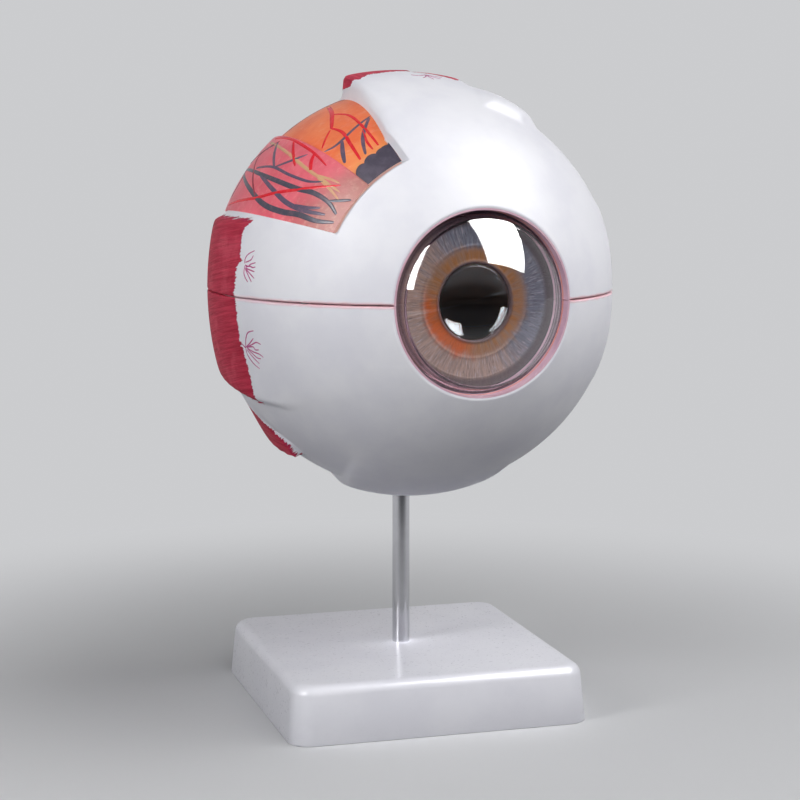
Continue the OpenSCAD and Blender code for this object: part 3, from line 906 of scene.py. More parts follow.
@dataclass
class Muscles:
    """The six eye muscles as the moulding shows them, in the eye frame."""

    ball_r: float = 72.2
    back: float = 33.0
    sr_back: float = 9.5
    top_x: float = -24.4
    lr_barrel: float = 120.0
    lr_shift: float = -47.75
    lr_behind: float = 5.0
    lr_top_z: float = 26.2
    io_turn: float = 13.6
    io_tilt: float = -41.0
    sunk: float = 0.4

    def run_out(self, far: np.ndarray, ways: np.ndarray, start: float, end: float) -> np.ndarray:
        """Lets an upper face run out into the ball in front.

        Args:
            far: Distances of the face from the middle of the ball.
            ways: Unit directions to them.
            start: Distance in front of the middle where it starts to fall.
            end: Distance in front of the middle where it lies just under the ball.

        Returns:
            The new distances.
        """
        ahead = smooth_step(-ways[:, 1] * self.ball_r, start, end)
        return far - ahead * np.maximum(far - self.ball_r + self.sunk, 0.0)

    def superior_rectus(self) -> Strap:
        """Strap over the top; its temple side leans more towards the front."""
        def inside(p: np.ndarray) -> np.ndarray:
            """Distance in from the outline."""
            right = 22.6 - p[:, 0]
            body = np.minimum(p[:, 0] - self.top_x, right)
            body = soft_min(body, self.sr_back - p[:, 1], 1.5)
            return np.where(p[:, 2] > 10, body, OUTSIDE)

        def steep(p: np.ndarray) -> np.ndarray:
            """Lean of the sides."""
            temple = 1.0 + 2.2 * smooth_step(p[:, 1], -26.0, 6.0)
            nose = 0.55 + 1.0 * smooth_step(p[:, 1], -20.0, 16.0)
            end = 2.2
            lean = np.where(p[:, 0] < 0, temple, nose)
            return np.where(p[:, 1] > self.sr_back - 3, end, lean)

        def painted(p: np.ndarray) -> np.ndarray:
            """Distance behind the front of the paint, which climbs the temple side."""
            turn = meridian_of(p)
            line = np.interp(turn, [60, 70.0, 70.9, 71.1, 71.5, 74, 77.4, 81, 89, 95, 102, 107, 112],
                             [112.0, 100.0, 96.5, 92.4, 88.4, 87.1, 90.4, 90.4, 92.0, 90.0, 86.5,
                              98.0, 112.0])
            return np.radians(polar_of(p) - line) * self.ball_r

        crest = sphere_top((-3.0, 20.0, -23.9), 102.9)

        def top(ways: np.ndarray) -> np.ndarray:
            """Distance of its upper face, which runs out into the ball in front."""
            return self.run_out(crest(ways), ways, 30.0, 56.0)

        return Strap(top, inside, steep, painted, running(0), 1.8)

    def lateral_rectus(self) -> Strap:
        """Barrel-shaped strap at the temple side, across the seam."""
        def top(ways: np.ndarray) -> np.ndarray:
            """Distance of the barrel along unit directions."""
            flat = ways[:, 0] ** 2 + ways[:, 1] ** 2
            far = np.full(len(ways), self.ball_r)
            for _ in range(6):
                height = np.clip(far * ways[:, 2], -110.0, 110.0)
                wide = self.lr_shift + np.sqrt(self.lr_barrel ** 2 - height ** 2)
                lift = self.lr_behind * ways[:, 1]
                rest = np.maximum(lift ** 2 + flat * (wide ** 2 - self.lr_behind ** 2), 1.0)
                far = (lift + np.sqrt(rest)) / np.maximum(flat, 0.05)
                far = np.clip(far, 50.0, 90.0)
            return self.run_out(far, ways, 16.0, 41.0)

        def inside(p: np.ndarray) -> np.ndarray:
            """Distance in from the outline."""
            low = np.interp(p[:, 1], [-50, -40, -26, -12, 20, 33],
                            [-30.6, -34.8, -37.3, -36.4, -31.8, -31.2])
            body = np.minimum(self.lr_top_z + 0.5 - p[:, 2], p[:, 2] - low)
            body = soft_min(body, self.back - p[:, 1], 1.5)
            return np.where(p[:, 0] < 0, body, OUTSIDE)

        def steep(p: np.ndarray) -> np.ndarray:
            """Lean of the sides."""
            return np.where(p[:, 2] > 0, 1.5, 1.45)

        def painted(p: np.ndarray) -> np.ndarray:
            """Distance behind the front of the paint."""
            line = np.interp(p[:, 2],
                             [-34.0, -31.0, -26.1, -20.2, -14.4, -7.5, -1.6, 1.4, 6.1, 10.7, 11.9,
                              13.0, 13.9, 18.5, 23.0, 24.3, 26.1],
                             [78.6, 78.0, 77.3, 77.2, 77.8, 77.5, 78.0, 78.9, 78.5, 78.6, 77.6,
                              75.8, 77.3, 78.4, 78.5, 77.7, 76.3])
            return np.radians(polar_of(p) - line) * self.ball_r

        return Strap(top, inside, steep, painted,
                     lambda p: np.column_stack((p[:, 2] + 0.16 * p[:, 1], p[:, 1])), 1.6)

    def medial_rectus(self) -> Strap:
        """Strap at the nose side."""
        def inside(p: np.ndarray) -> np.ndarray:
            """Distance in from the outline."""
            body = np.minimum(31.0 - np.abs(p[:, 2]), self.back - 4 - p[:, 1])
            return np.where(p[:, 0] > 10, body, OUTSIDE)

        return Strap(
            sphere_top((0.0, 4.0, 0.0), 74.0), inside, constant(1.7),
            lambda p: p[:, 1] - 4.0 + 0.06 * p[:, 2], running(2),
        )

    def inferior_rectus(self) -> Strap:
        """Strap underneath, wider towards the front."""
        def inside(p: np.ndarray) -> np.ndarray:
            """Distance in from the outline."""
            left = np.interp(p[:, 1], [-50, -22, -4, 33], [-36.0, -33.6, -29.0, -26.5])
            body = np.minimum(p[:, 0] - left, 25.4 - p[:, 0])
            body = soft_min(body, self.back - p[:, 1], 1.5)
            return np.where(p[:, 2] < -20, body, OUTSIDE)

        return Strap(
            sphere_top((0.0, 5.0, -0.5), 74.9), inside, constant(1.0),
            lambda p: p[:, 1] - 16.0 - 0.1 * p[:, 0], running(0), 1.6,
        )

    def superior_oblique(self) -> Strap:
        """Slanting strap that comes from the nose side under the upper strap."""
        def inside(p: np.ndarray) -> np.ndarray:
            """Distance in from the outline."""
            front = np.interp(p[:, 0], [16, 29, 37.5], [-30.0, -31.0, -24.0])
            body = np.minimum(np.minimum(p[:, 0] - 14.0, 38.4 - p[:, 0]), p[:, 1] - front)
            body = soft_min(body, 9.0 - 0.35 * (p[:, 0] - 20.0) - p[:, 1], 1.5)
            return np.where(p[:, 2] > 20, body, OUTSIDE)

        return Strap(constant(self.ball_r + 3.3), inside, constant(0.75), constant(-40.0), running(0), 1.8)

    def inferior_oblique(self) -> Strap:
        """Slanting strap underneath at the back of the temple side."""
        tilt = Matrix.Rotation(math.radians(self.io_tilt), 3, "Y")
        turn = Matrix.Rotation(math.radians(self.io_turn), 3, "Z")
        local = np.array((turn @ tilt).inverted())

        def top(ways: np.ndarray) -> np.ndarray:
            """Distance of its upper face, which rises towards its lower edge."""
            height = self.ball_r * (ways @ local.T)[:, 2]
            rise = np.interp(height, [-14.0, -11.6, -6.4, -1.2, 4.7, 9.0],
                             [3.7, 3.4, 2.1, 0.9, -0.3, -1.5])
            return self.ball_r + rise

        def inside(p: np.ndarray) -> np.ndarray:
            """Distance in from the outline, whose front edge runs back as it climbs."""
            q = p @ local.T
            front = np.interp(q[:, 2], [-14.0, -6.3, -4.9, -3.0, -1.5, 1.7, 3.5, 4.7],
                              [1.6, 2.4, 4.0, 6.5, 9.5, 14.0, 18.3, 25.0])
            body = np.minimum(np.minimum(q[:, 2] + 11.9, 5.0 - q[:, 2]),
                              np.minimum(q[:, 1] - front, 32.0 - q[:, 1]))
            return np.where(q[:, 0] < -20, body + 0.6, OUTSIDE)

        def fibre(p: np.ndarray) -> np.ndarray:
            """Coordinates across and along the fibres."""
            q = p @ local.T
            return np.column_stack((q[:, 2], q[:, 1]))

        return Strap(top, inside, constant(2.6), lambda p: inside(p) - 0.45, fibre, 0.8)

    def of_half(self, half: Half) -> list[Strap]:
        """The straps that stand on one half shell."""
        shared = [self.lateral_rectus(), self.medial_rectus()]
        if half is Half.UPPER:
            return shared + [self.superior_rectus(), self.superior_oblique()]
        return shared + [self.inferior_rectus(), self.inferior_oblique()]


@dataclass
class WhiteShell:
    """The two white half shells of the ball, with the window cut through the upper one."""

    ball_r: float = 72.2
    inner_r: float = 67.7
    opening_r: float = 31.6
    gap: float = 0.45
    seam_lip: float = 0.55
    opening_lip: float = 1.1
    window_lip: float = 0.8
    win_front: float = 46.0
    win_top_x: float = -24.4
    win_flare_y: float = -38.0
    win_flare: float = 15.0
    win_low: float = 9.4
    win_low_tilt: float = 16.4
    win_back_y: float = 40.0
    nerve_r: float = 10.5
    nerve_angle: float = 15.0
    strap_low: float = -6.0
    strap_blend: float = 0.7
    flat_way: Point = (0.934, -0.358, 0.0)
    flat_deep: float = 1.1
    flat_wide: float = 13.0
    rings: int = 330
    meridians: int = 460
    muscles: Muscles = field(default_factory=Muscles)

    def opening_polar(self) -> float:
        """Polar angle of the opening's edge, in degrees."""
        return math.degrees(math.asin(self.opening_r / self.ball_r))

    def spread(self, count: int, low: float, high: float,
               dense: Sequence[tuple[float, float, float]]) -> np.ndarray:
        """Steps from low to high that crowd round some places.

        Args:
            count: Number of values.
            low: First value.
            high: Last value.
            dense: Place, width and weight of each crowd.

        Returns:
            The rising values.
        """
        fine = np.linspace(low, high, 20001)
        weight = np.ones_like(fine)
        for place, width, gain in dense:
            weight += gain * np.exp(-((fine - place) / width) ** 2)
        total = np.concatenate(([0.0], np.cumsum((weight[1:] + weight[:-1]) / 2)))
        return np.interp(np.linspace(0, total[-1], count), total, fine)

    def skin(self, half: Half) -> bmesh.types.BMesh:
        """Half ball, its lines crowded at the seam, the opening and the window's front."""
        bm = bmesh.new()
        across = self.meridians // 2
        bmesh.ops.create_grid(bm, x_segments=self.rings, y_segments=across, size=0.5)
        side = half.value
        opening = self.opening_polar()
        polars = self.spread(self.rings + 1, opening, 180.0,
                             [(opening, 1.6, 3.0), (self.win_front, 1.4, 2.4)])
        nearest = int(np.argmin(np.abs(polars - self.win_front)))
        polars[nearest] = self.win_front
        turns = self.spread(across + 1, 0.0, 180.0, [(0, 2.0, 4.0), (180, 2.0, 4.0)])
        flat = points_of(bm)
        ring = np.rint((flat[:, 0] + 0.5) * self.rings).astype(int)
        step = np.rint((flat[:, 1] + 0.5) * across).astype(int)
        polar, turn = np.radians(polars[ring]), np.radians(turns[step])
        sine = np.sin(polar)
        ways = np.column_stack((-sine * np.cos(turn), -np.cos(polar), side * sine * np.sin(turn)))
        if half is Half.UPPER:
            lift = self.gap / self.ball_r * np.exp(-np.abs(ways[:, 2]) * self.ball_r / 3)
            ways[:, 2] += lift * np.minimum(1.0, sine / 0.1)
            ways = unit(ways)
        move_to(bm, ways * self.ball_r)
        pole = [v for v, last in zip(bm.verts, ring == self.rings) if last]
        bmesh.ops.remove_doubles(bm, verts=pole, dist=0.01)
        return bm

    def low_way(self) -> Vector:
        """Unit way up from the plane of the window's lower edge."""
        tilt = math.radians(self.win_low_tilt)
        return Vector((math.sin(tilt), 0, math.cos(tilt)))

    def flare_way(self) -> Vector:
        """Unit way out of the window across the flare of its top edge."""
        turn = math.radians(self.win_flare)
        return Vector((math.cos(turn), math.sin(turn), 0))

    def low_edge(self, places: np.ndarray) -> np.ndarray:
        """Height of places over the plane of the window's lower edge."""
        return places @ np.array(self.low_way()) - self.win_low

    def top_edge(self, places: np.ndarray) -> np.ndarray:
        """Distance of places past the window's top edge, which flares at the front."""
        knee = np.array((self.win_top_x, self.win_flare_y, 0.0))
        flared = (places - knee) @ np.array(self.flare_way())
        return np.where(places[:, 1] < self.win_flare_y, flared, places[:, 0] - self.win_top_x)

    def from_window(self, places: np.ndarray) -> np.ndarray:
        """Distance from the window along the ball, zero inside it."""
        parts = np.column_stack((
            self.top_edge(places),
            -self.low_edge(places),
            np.radians(self.win_front - polar_of(places)) * self.ball_r,
            places[:, 1] - self.win_back_y,
        ))
        return np.linalg.norm(np.maximum(parts, 0), axis=1)

    def from_nerve(self, places: np.ndarray) -> tuple[np.ndarray, np.ndarray]:
        """Distance from the nerve's axis and the unit way out from it."""
        angle = math.radians(self.nerve_angle)
        axis = np.array((math.sin(angle), math.cos(angle), 0.0))
        out = places - np.outer(places @ axis, axis)
        far = np.linalg.norm(out, axis=1)
        far = np.where(places @ axis > 0, far, 999.0)
        return far, out / np.maximum(far, 1e-6)[:, None]

    def cut_window(self, bm: bmesh.types.BMesh) -> None:
        """Cuts the window's edges into the skin, with lines for its lip, and opens it."""
        knee = Vector((self.win_top_x, self.win_flare_y, 0))
        cuts = (
            (knee, Vector((1, 0, 0)), lambda p: p.y > self.win_flare_y - 1),
            (knee, self.flare_way(), lambda p: p.y < self.win_flare_y + 1 and p.x > -40),
            (self.low_way() * self.win_low, -self.low_way(), lambda p: True),
            (Vector((0, self.win_back_y, 0)), Vector((0, 1, 0)), lambda p: p.y > 30),
        )
        far = self.from_window(face_centres(bm))
        band = {f for f, d in zip(bm.faces, far) if d < 3.0}
        for origin, normal, among in cuts:
            for offset in (0.0, 0.2, 0.45, 0.8, 1.3):
                plane = origin + normal * offset
                picked = [f for f in band if f.is_valid
                          and abs((f.calc_center_median() - plane).dot(normal)) < 1.2
                          and among(f.calc_center_median())]
                edges = {e for f in picked for e in f.edges}
                verts = {v for f in picked for v in f.verts}
                cut = bmesh.ops.bisect_plane(bm, geom=picked + list(edges) + list(verts),
                                             dist=0.03, plane_co=plane, plane_no=normal)
                band |= {g for g in cut["geom"] if isinstance(g, bmesh.types.BMFace)}
        far = self.from_window(face_centres(bm))
        bmesh.ops.delete(bm, geom=[f for f, d in zip(bm.faces, far) if d < 1e-4], context="FACES")

    def cut_nerve(self, bm: bmesh.types.BMesh, radius: float) -> None:
        """Opens the nerve's way and draws its edge onto the circle."""
        far, _ = self.from_nerve(points_of(bm))
        bmesh.ops.delete(bm, geom=[v for v, d in zip(bm.verts, far) if d < radius], context="VERTS")
        bm.verts.index_update()
        places = points_of(bm)
        far, out = self.from_nerve(places)
        for vert, d, way in zip(bm.verts, far, out):
            if d < radius + 2 and vert.is_boundary and abs(vert.co.z) > self.gap + 0.05:
                vert.co += Vector(way) * (radius - d)
            elif d < radius + 2 and vert.is_boundary and d < radius + 1.0:
                vert.co.x += (radius - d) * (1 if way[0] > 0 else -1) * math.cos(
                    math.radians(self.nerve_angle))

    def relief(self, half: Half, places: np.ndarray) -> np.ndarray:
        """Height over the ball for places on it."""
        ways = unit(places)
        spots = ways * self.ball_r
        height = np.zeros(len(places))
        for strap in self.muscles.of_half(half):
            wall = strap.inside(spots) * strap.steep(spots)
            stump = soft_min(strap.top(ways) - self.ball_r, wall, strap.crown)
            height = soft_max(height, np.maximum(stump, self.strap_low), self.strap_blend)
        # the moulding is a little flat where the nose side faces forward
        turn = np.degrees(np.arccos(np.clip(ways @ np.array(self.flat_way), -1, 1)))
        return height - self.flat_deep * np.exp(-(turn / self.flat_wide) ** 2)

    def lips(self, half: Half, places: np.ndarray) -> np.ndarray:
        """How much the skin falls at its rounded edges."""
        def fall(distance: np.ndarray, radius: float) -> np.ndarray:
            """Drop of a quarter round."""
            rest = np.clip(radius - distance, 0, radius)
            return radius - np.sqrt(radius * radius - rest * rest)

        from_opening = np.radians(polar_of(places) - self.opening_polar()) * self.ball_r
        drop = fall(from_opening, self.opening_lip)
        seam = places[:, 2] - self.gap if half is Half.UPPER else -places[:, 2]
        drop = np.maximum(drop, fall(seam, self.seam_lip))
        if half is Half.UPPER:
            drop = np.maximum(drop, fall(self.from_window(places), self.window_lip))
        return drop

    def sink(self, places: np.ndarray, edges: dict[str, np.ndarray]) -> np.ndarray:
        """Inner places of the wall for places on the skin.

        Args:
            places: Places on the outer skin.
            edges: Which places lie on the seam and on each edge of the window.

        Returns:
            Places on the inner ball; those on an edge keep to the edge's plane or cylinder.
        """
        ways = unit(places)
        deep = ways * self.inner_r
        share = 1 - self.inner_r / self.ball_r
        # bores keep their width: near them the inner skin is drawn outwards
        rho = np.linalg.norm(deep[:, [0, 2]], axis=1)
        grow = self.opening_r * share * np.exp(-(rho / (1 - share) - self.opening_r) / 3)
        grow = np.where(deep[:, 1] < 0, grow, 0)
        wide = (rho + grow) / np.maximum(rho, 1e-6)
        deep[:, 0] *= wide
        deep[:, 2] *= wide
        far, out = self.from_nerve(deep)
        grow = self.nerve_r * share * np.exp(-(far / (1 - share) - self.nerve_r) / 3)
        deep += out * np.where(far < 90, grow, 0)[:, None]
        deep *= self.inner_r / np.linalg.norm(deep, axis=1)[:, None]

        def hold(mask: np.ndarray, normal: Point) -> None:
            """Keeps masked places in their plane while they sink."""
            n = np.array(normal)
            height = places[mask] @ n
            flat = places[mask] - np.outer(height, n)
            reach = np.sqrt(self.inner_r ** 2 - height ** 2)
            deep[mask] = np.outer(height, n) + flat * (reach / np.linalg.norm(flat, axis=1))[:, None]

        hold(edges["top"], (1.0, 0.0, 0.0))
        hold(edges["flare"], tuple(self.flare_way()))
        hold(edges["low"], tuple(self.low_way()))
        hold(edges["seam"], (0.0, 0.0, 1.0))
        front = edges["front"]
        rho = places[front][:, [0, 2]]
        deep[front, 0] = rho[:, 0]
        deep[front, 2] = rho[:, 1]
        deep[front, 1] = -np.sqrt(self.inner_r ** 2 - (rho ** 2).sum(axis=1))
        return deep

    def paint(self, half: Half, places: np.ndarray) -> np.ndarray:
        """Rows for the attribute 'paint': across, along and distance into the paint."""
        ways = unit(places)
        spots = ways * self.ball_r
        rows = np.column_stack((spots[:, 0], spots[:, 1], np.full(len(places), UNPAINTED)))
        for strap in self.muscles.of_half(half):
            depth = np.minimum(strap.inside(spots) + 0.35, strap.painted(spots))
            better = depth > rows[:, 2]
            fibre = strap.fibre(spots)
            rows[better, 0:2] = fibre[better]
            rows[better, 2] = depth[better]
        return rows

    def build(self, half: Half) -> bpy.types.Object:
        """Builds and dresses one half shell.

        Args:
            half: Which half.

        Returns:
            The piece.
        """
        upper = half is Half.UPPER
        bm = self.skin(half)
        if upper:
            self.cut_window(bm)
        self.cut_nerve(bm, self.nerve_r + (0.3 if upper else 0.0))
        skin = points_of(bm)
        level = self.gap if upper else 0.0
        edges = {name: np.zeros(len(skin), bool) for name in ("top", "flare", "low", "front")}
        edges["seam"] = np.abs(skin[:, 2] - level) < 0.02
        if upper:
            rim = np.array([v.is_boundary for v in bm.verts]) & (self.from_window(skin) < 0.06)
            ahead = skin[:, 1] < self.win_flare_y
            edges["top"] = rim & ~ahead & (np.abs(self.top_edge(skin)) < 0.05)
            edges["flare"] = rim & ahead & (np.abs(self.top_edge(skin)) < 0.05)
            edges["low"] = rim & (np.abs(self.low_edge(skin)) < 0.05)
            edges["front"] = rim & (np.abs(polar_of(skin) - self.win_front) < 0.06)
        height = self.relief(half, skin) - self.lips(half, skin)
        outer = skin * (1 + height / self.ball_r)[:, None]
        outer[edges["seam"], 2] = level
        inner = self.sink(skin, edges)
        move_to(bm, outer)
        bm.verts.index_update()
        inside = {tuple(v.co): i for i, v in enumerate(bm.verts)}
        for vert in thicken(bm):
            vert.co = inner[inside[tuple(vert.co)]]
        bmesh.ops.recalc_face_normals(bm, faces=bm.faces)
        places = points_of(bm)
        name = "shell_upper" if upper else "shell_lower"
        piece = settle(name, bm, "shell", Body.UPPER if upper else Body.LOWER,
                       ["sclera_upper" if upper else "sclera_lower"])
        rows = self.paint(half, places)
        deep = np.linalg.norm(places, axis=1) < self.inner_r + 0.5
        rows[deep, 2] = UNPAINTED
        add_vectors(piece, "paint", rows)
        if upper:
            window = self.from_window(places) + np.where(deep, 0.0, WALL_MARK)
        else:
            window = np.full(len(places), 9.0)
        from_opening = np.radians(polar_of(places) - self.opening_polar()) * self.ball_r
        seam = np.column_stack((np.abs(places[:, 2] - level), from_opening, window))
        add_vectors(piece, "seam", seam)
        return piece


# ---------------------------------------------------------------- coats in the window


@dataclass
class Window:
    """The coloured coats that the window shows, and the vessels painted on them."""

    centre: Point = (0.0, 3.2, 2.0)
    pink_r: float = 71.1
    orange_r: float = 69.7
    floor_r: float = 67.75
    split: float = 49.0
    tuck: float = 0.25
    rim_front: float = 45.2
    rim_high: float = 0.55
    shell: WhiteShell = field(default_factory=WhiteShell)

    red_on_orange: tuple[Stroke, ...] = (
        Stroke(((64.6, 92.0), (62.4, 84.6), (59.8, 79.4), (57.4, 75.4)), 1.7, 0.9, 0.5),
        Stroke(((61.6, 83.6), (64.2, 77.0), (63.8, 67.5), (62.6, 57.4)), 1.1, 0.9, 0.5),
        Stroke(((57.4, 75.6), (58.2, 70.4), (56.6, 64.0), (54.6, 56.8)), 1.3, 0.6, 0.5),
        Stroke(((56.6, 75.0), (53.4, 72.8), (50.2, 70.4)), 0.8, 0.9, 0.3),
        Stroke(((62.8, 66.0), (60.8, 61.0), (60.2, 57.2)), 0.9, 0.5, 0.4),
    )
    grey_on_orange: tuple[Stroke, ...] = (
        Stroke(((68.0, 70.6), (62.8, 69.2), (56.6, 67.6), (52.8, 67.4), (49.8, 68.6)), 1.2, 0.6, 0.3),
        Stroke(((67.4, 70.0), (62.4, 65.0), (59.6, 61.4), (57.2, 57.2)), 1.4, 0.7, 0.4),
        Stroke(((55.8, 67.2), (53.0, 63.4), (50.4, 59.6)), 1.6, 0.4, 0.4),
        Stroke(((74.0, 90.0), (66.0, 97.0), (58.0, 99.0), (50.5, 99.5)), 0.8, 0.6, 0.5),
    )
    red_on_pink: tuple[Stroke, ...] = (
        Stroke(((47.9, 96.5), (48.4, 86.0), (47.9, 76.6), (47.2, 69.0), (45.9, 62.6)), 1.15, 0.8, 0.2),
        Stroke(((47.8, 82.0), (44.3, 77.2), (41.2, 72.4)), 1.3, 0.5, 0.2),
        Stroke(((47.2, 69.6), (44.8, 68.4), (42.2, 66.2)), 1.5, 0.4, 0.8),
        Stroke(((25.4, 101.0), (28.2, 83.0), (31.6, 73.8), (35.2, 65.8), (39.0, 59.4), (43.0, 54.2)),
               1.3, 0.8, 0.2),
    )
    faint_on_pink: tuple[Stroke, ...] = (
        Stroke(((46.8, 90.4), (41.6, 98.0), (36.4, 92.6), (32.4, 87.2), (28.8, 81.4)), 0.9, 0.6, 0.5),
    )
    dark_on_pink: tuple[Stroke, ...] = (
        Stroke(((37.2, 104.0), (35.6, 86.0), (35.2, 74.0), (35.4, 66.0), (36.4, 59.8), (35.8, 54.0),
                (33.4, 50.0)), 1.9, 0.5, 0.4),
        Stroke(((35.4, 103.0), (30.6, 87.0), (27.6, 76.0), (27.2, 67.6), (28.2, 61.0), (28.4, 54.8),
                (30.4, 49.4)), 2.1, 0.5, 0.3),
        Stroke(((36.2, 54.4), (38.6, 51.0), (40.6, 48.6)), 1.1, 0.7, 0.3),
    )
    grey_on_pink: tuple[Stroke, ...] = (
        Stroke(((35.4, 85.6), (32.2, 74.4), (30.2, 66.8), (30.0, 59.8), (31.6, 53.0)), 1.8, 0.6, 0.3),
        Stroke(((30.4, 64.0), (31.4, 59.0), (33.0, 55.4)), 1.2, 0.6, 0.2),
        Stroke(((37.2, 91.6), (38.6, 82.0), (38.2, 72.4), (38.8, 64.4), (41.0, 59.8)), 1.1, 0.7, 0.3),
        Stroke(((46.4, 91.0), (42.4, 86.4), (38.6, 81.0)), 1.3, 0.4, 0.6),
        Stroke(((38.6, 81.0), (42.0, 76.0), (46.0, 71.6)), 1.1, 0.5, 0.2),
        Stroke(((39.6, 106.0), (42.2, 99.4), (45.4, 91.6)), 0.8, 0.5, 0.5),
        Stroke(((28.0, 103.0), (33.0, 101.0), (37.0, 103.5)), 0.6, 0.4, 0.4),
    )
    pale_on_pink: tuple[Stroke, ...] = (
        Stroke(((46.4, 98.0), (44.0, 80.0), (42.2, 69.0), (41.4, 60.4), (40.8, 53.0)), 1.3, 0.9, 0.2),
        Stroke(((41.2, 62.0), (40.0, 56.4), (38.4, 52.0)), 1.0, 0.8, 0.2),
        Stroke(((41.6, 63.6), (42.8, 58.4), (43.4, 55.0)), 0.9, 0.8, 0.2),
    )

    def coat_skin(self, radius: float, floor: Ball, split: bool) -> bmesh.types.BMesh:
        """Closed coat in the window: outer ball, cut edges and a floor.

        Args:
            radius: Radius of the coat's ball.
            floor: Ball that its inner face follows.
            split: Whether it ends at the split meridian.

        Returns:
            The closed mesh.
        """
        bm = bmesh.new()
        bmesh.ops.create_grid(bm, x_segments=120, y_segments=120, size=0.5)
        for vert in bm.verts:
            way = on_ball(47.0 + 86.0 * vert.co.y, 85.0 + 88.0 * vert.co.x)
            vert.co = Vector(self.centre) + way * radius
        shell = self.shell
        low = shell.low_way()
        edge = math.radians(self.split)
        knee = Vector((shell.win_top_x, shell.win_flare_y, 0))
        for normal in (Vector((1, 0, 0)), shell.flare_way()):
            cut_all(bm, knee + normal * self.tuck, normal, clear=False)
        past = shell.top_edge(face_centres(bm))
        bmesh.ops.delete(bm, geom=[f for f, d in zip(bm.faces, past) if d > self.tuck],
                         context="FACES")
        cuts = [
            (low * (shell.win_low - self.tuck), -low),
            (Vector((0, shell.win_back_y + self.tuck, 0)), Vector((0, 1, 0))),
            (Vector((0, -math.cos(math.radians(shell.win_front - 0.6)) * radius, 0)),
             Vector((0, -1, 0))),
        ]
        if split:
            cuts.append((Vector((0, 0, 0)), Vector((math.sin(edge), 0, math.cos(edge)))))
        for origin, normal in cuts:
            cut_all(bm, origin, normal)
        skin = {tuple(v.co): v.co.copy() for v in bm.verts}
        for vert in thicken(bm):
            vert.co = floor.out_along(skin[tuple(vert.co)].normalized())
        bmesh.ops.recalc_face_normals(bm, faces=bm.faces)
        return bm

    def build_coats(self) -> None:
        """Builds the orange coat and the pink coat over it."""
        orange = self.coat_skin(self.orange_r, Ball(self.floor_r), False)
        settle("coat_orange", orange, "window_orange", Body.UPPER, ["retina_window"])
        pink = self.coat_skin(self.pink_r, Ball(self.orange_r - 0.05, self.centre), True)
        edges = [e for e in sharp_edges(pink)
                 if min((v.co - Vector(self.centre)).length for v in e.verts) > self.pink_r - 0.1]
        round_edges(pink, edges, 0.35)
        settle("coat_pink", pink, "window_pink", Body.UPPER, ["choroid_window"])

    def build_rim(self) -> None:
        """Builds the dark rim with its scalloped hind edge."""
        bm = bmesh.new()
        across, deep = 96, 16
        bmesh.ops.create_grid(bm, x_segments=across, y_segments=deep, size=0.5)
        ball = Ball(self.orange_r + 0.1, self.centre)
        for vert in bm.verts:
            turn = self.split - 0.4 + (vert.co.x + 0.5) * 20.4
            scallop = abs(math.sin(math.radians(turn - self.split) * 34.0))
            bulge = math.sin(math.pi * min(1.0, max(0.0, (vert.co.x + 0.5)))) ** 0.7
            hind = 52.6 + 2.2 * bulge + 1.1 * scallop ** 0.6
            hind += 1.6 * smooth_step(np.array(turn), 62.0, 66.0).item()
            polar = self.rim_front + (vert.co.y + 0.5) * (hind - self.rim_front)
            vert.co = ball.out_along(on_ball(turn, polar))
        bmesh.ops.recalc_face_normals(bm, faces=bm.faces)
        if bm.faces[0].normal.dot(bm.faces[0].calc_center_median()) < 0:
            bmesh.ops.reverse_faces(bm, faces=bm.faces)
        for vert in thicken(bm):
            vert.co = vert.co + vert.co.normalized() * self.rim_high
        round_edges(bm, sharp_edges(bm), 0.2)
        bmesh.ops.recalc_face_normals(bm, faces=bm.faces)
        settle("rim_dark", bm, "dark_rim", Body.UPPER, ["ora_window"])

    def build_vessels(self) -> None:
        """Paints the vessels onto both coats."""
        pink = Ball(self.pink_r, self.centre)
        orange = Ball(self.orange_r, self.centre)
        sets = (
            ("veins_on_orange", self.grey_on_orange, orange, "vein", "vessel_blue"),
            ("arteries_on_orange", self.red_on_orange, orange, "artery", "vessel_red"),
            ("nerve_on_pink", self.pale_on_pink, pink, "nerve_ink", "nerve_yellow"),
            ("veins_on_pink", self.grey_on_pink, pink, "vein", "vessel_blue"),
            ("deep_veins_on_pink", self.dark_on_pink, pink, "vein_dark", "vessel_blue"),
            ("faint_artery_on_pink", self.faint_on_pink, pink, "artery_faint", "vessel_red"),
            ("arteries_on_pink", self.red_on_pink, pink, "artery", "vessel_red"),
        )
        for number, (name, strokes, ball, key, slot) in enumerate(sets):
            paint = paint_strokes(strokes, ball, 0.08 + 0.012 * number)
            settle(name, paint, key, Body.UPPER, sharp=70.0)

    def build(self) -> None:
        """Builds every piece in the window."""
        self.build_coats()
        self.build_rim()
        self.build_vessels()


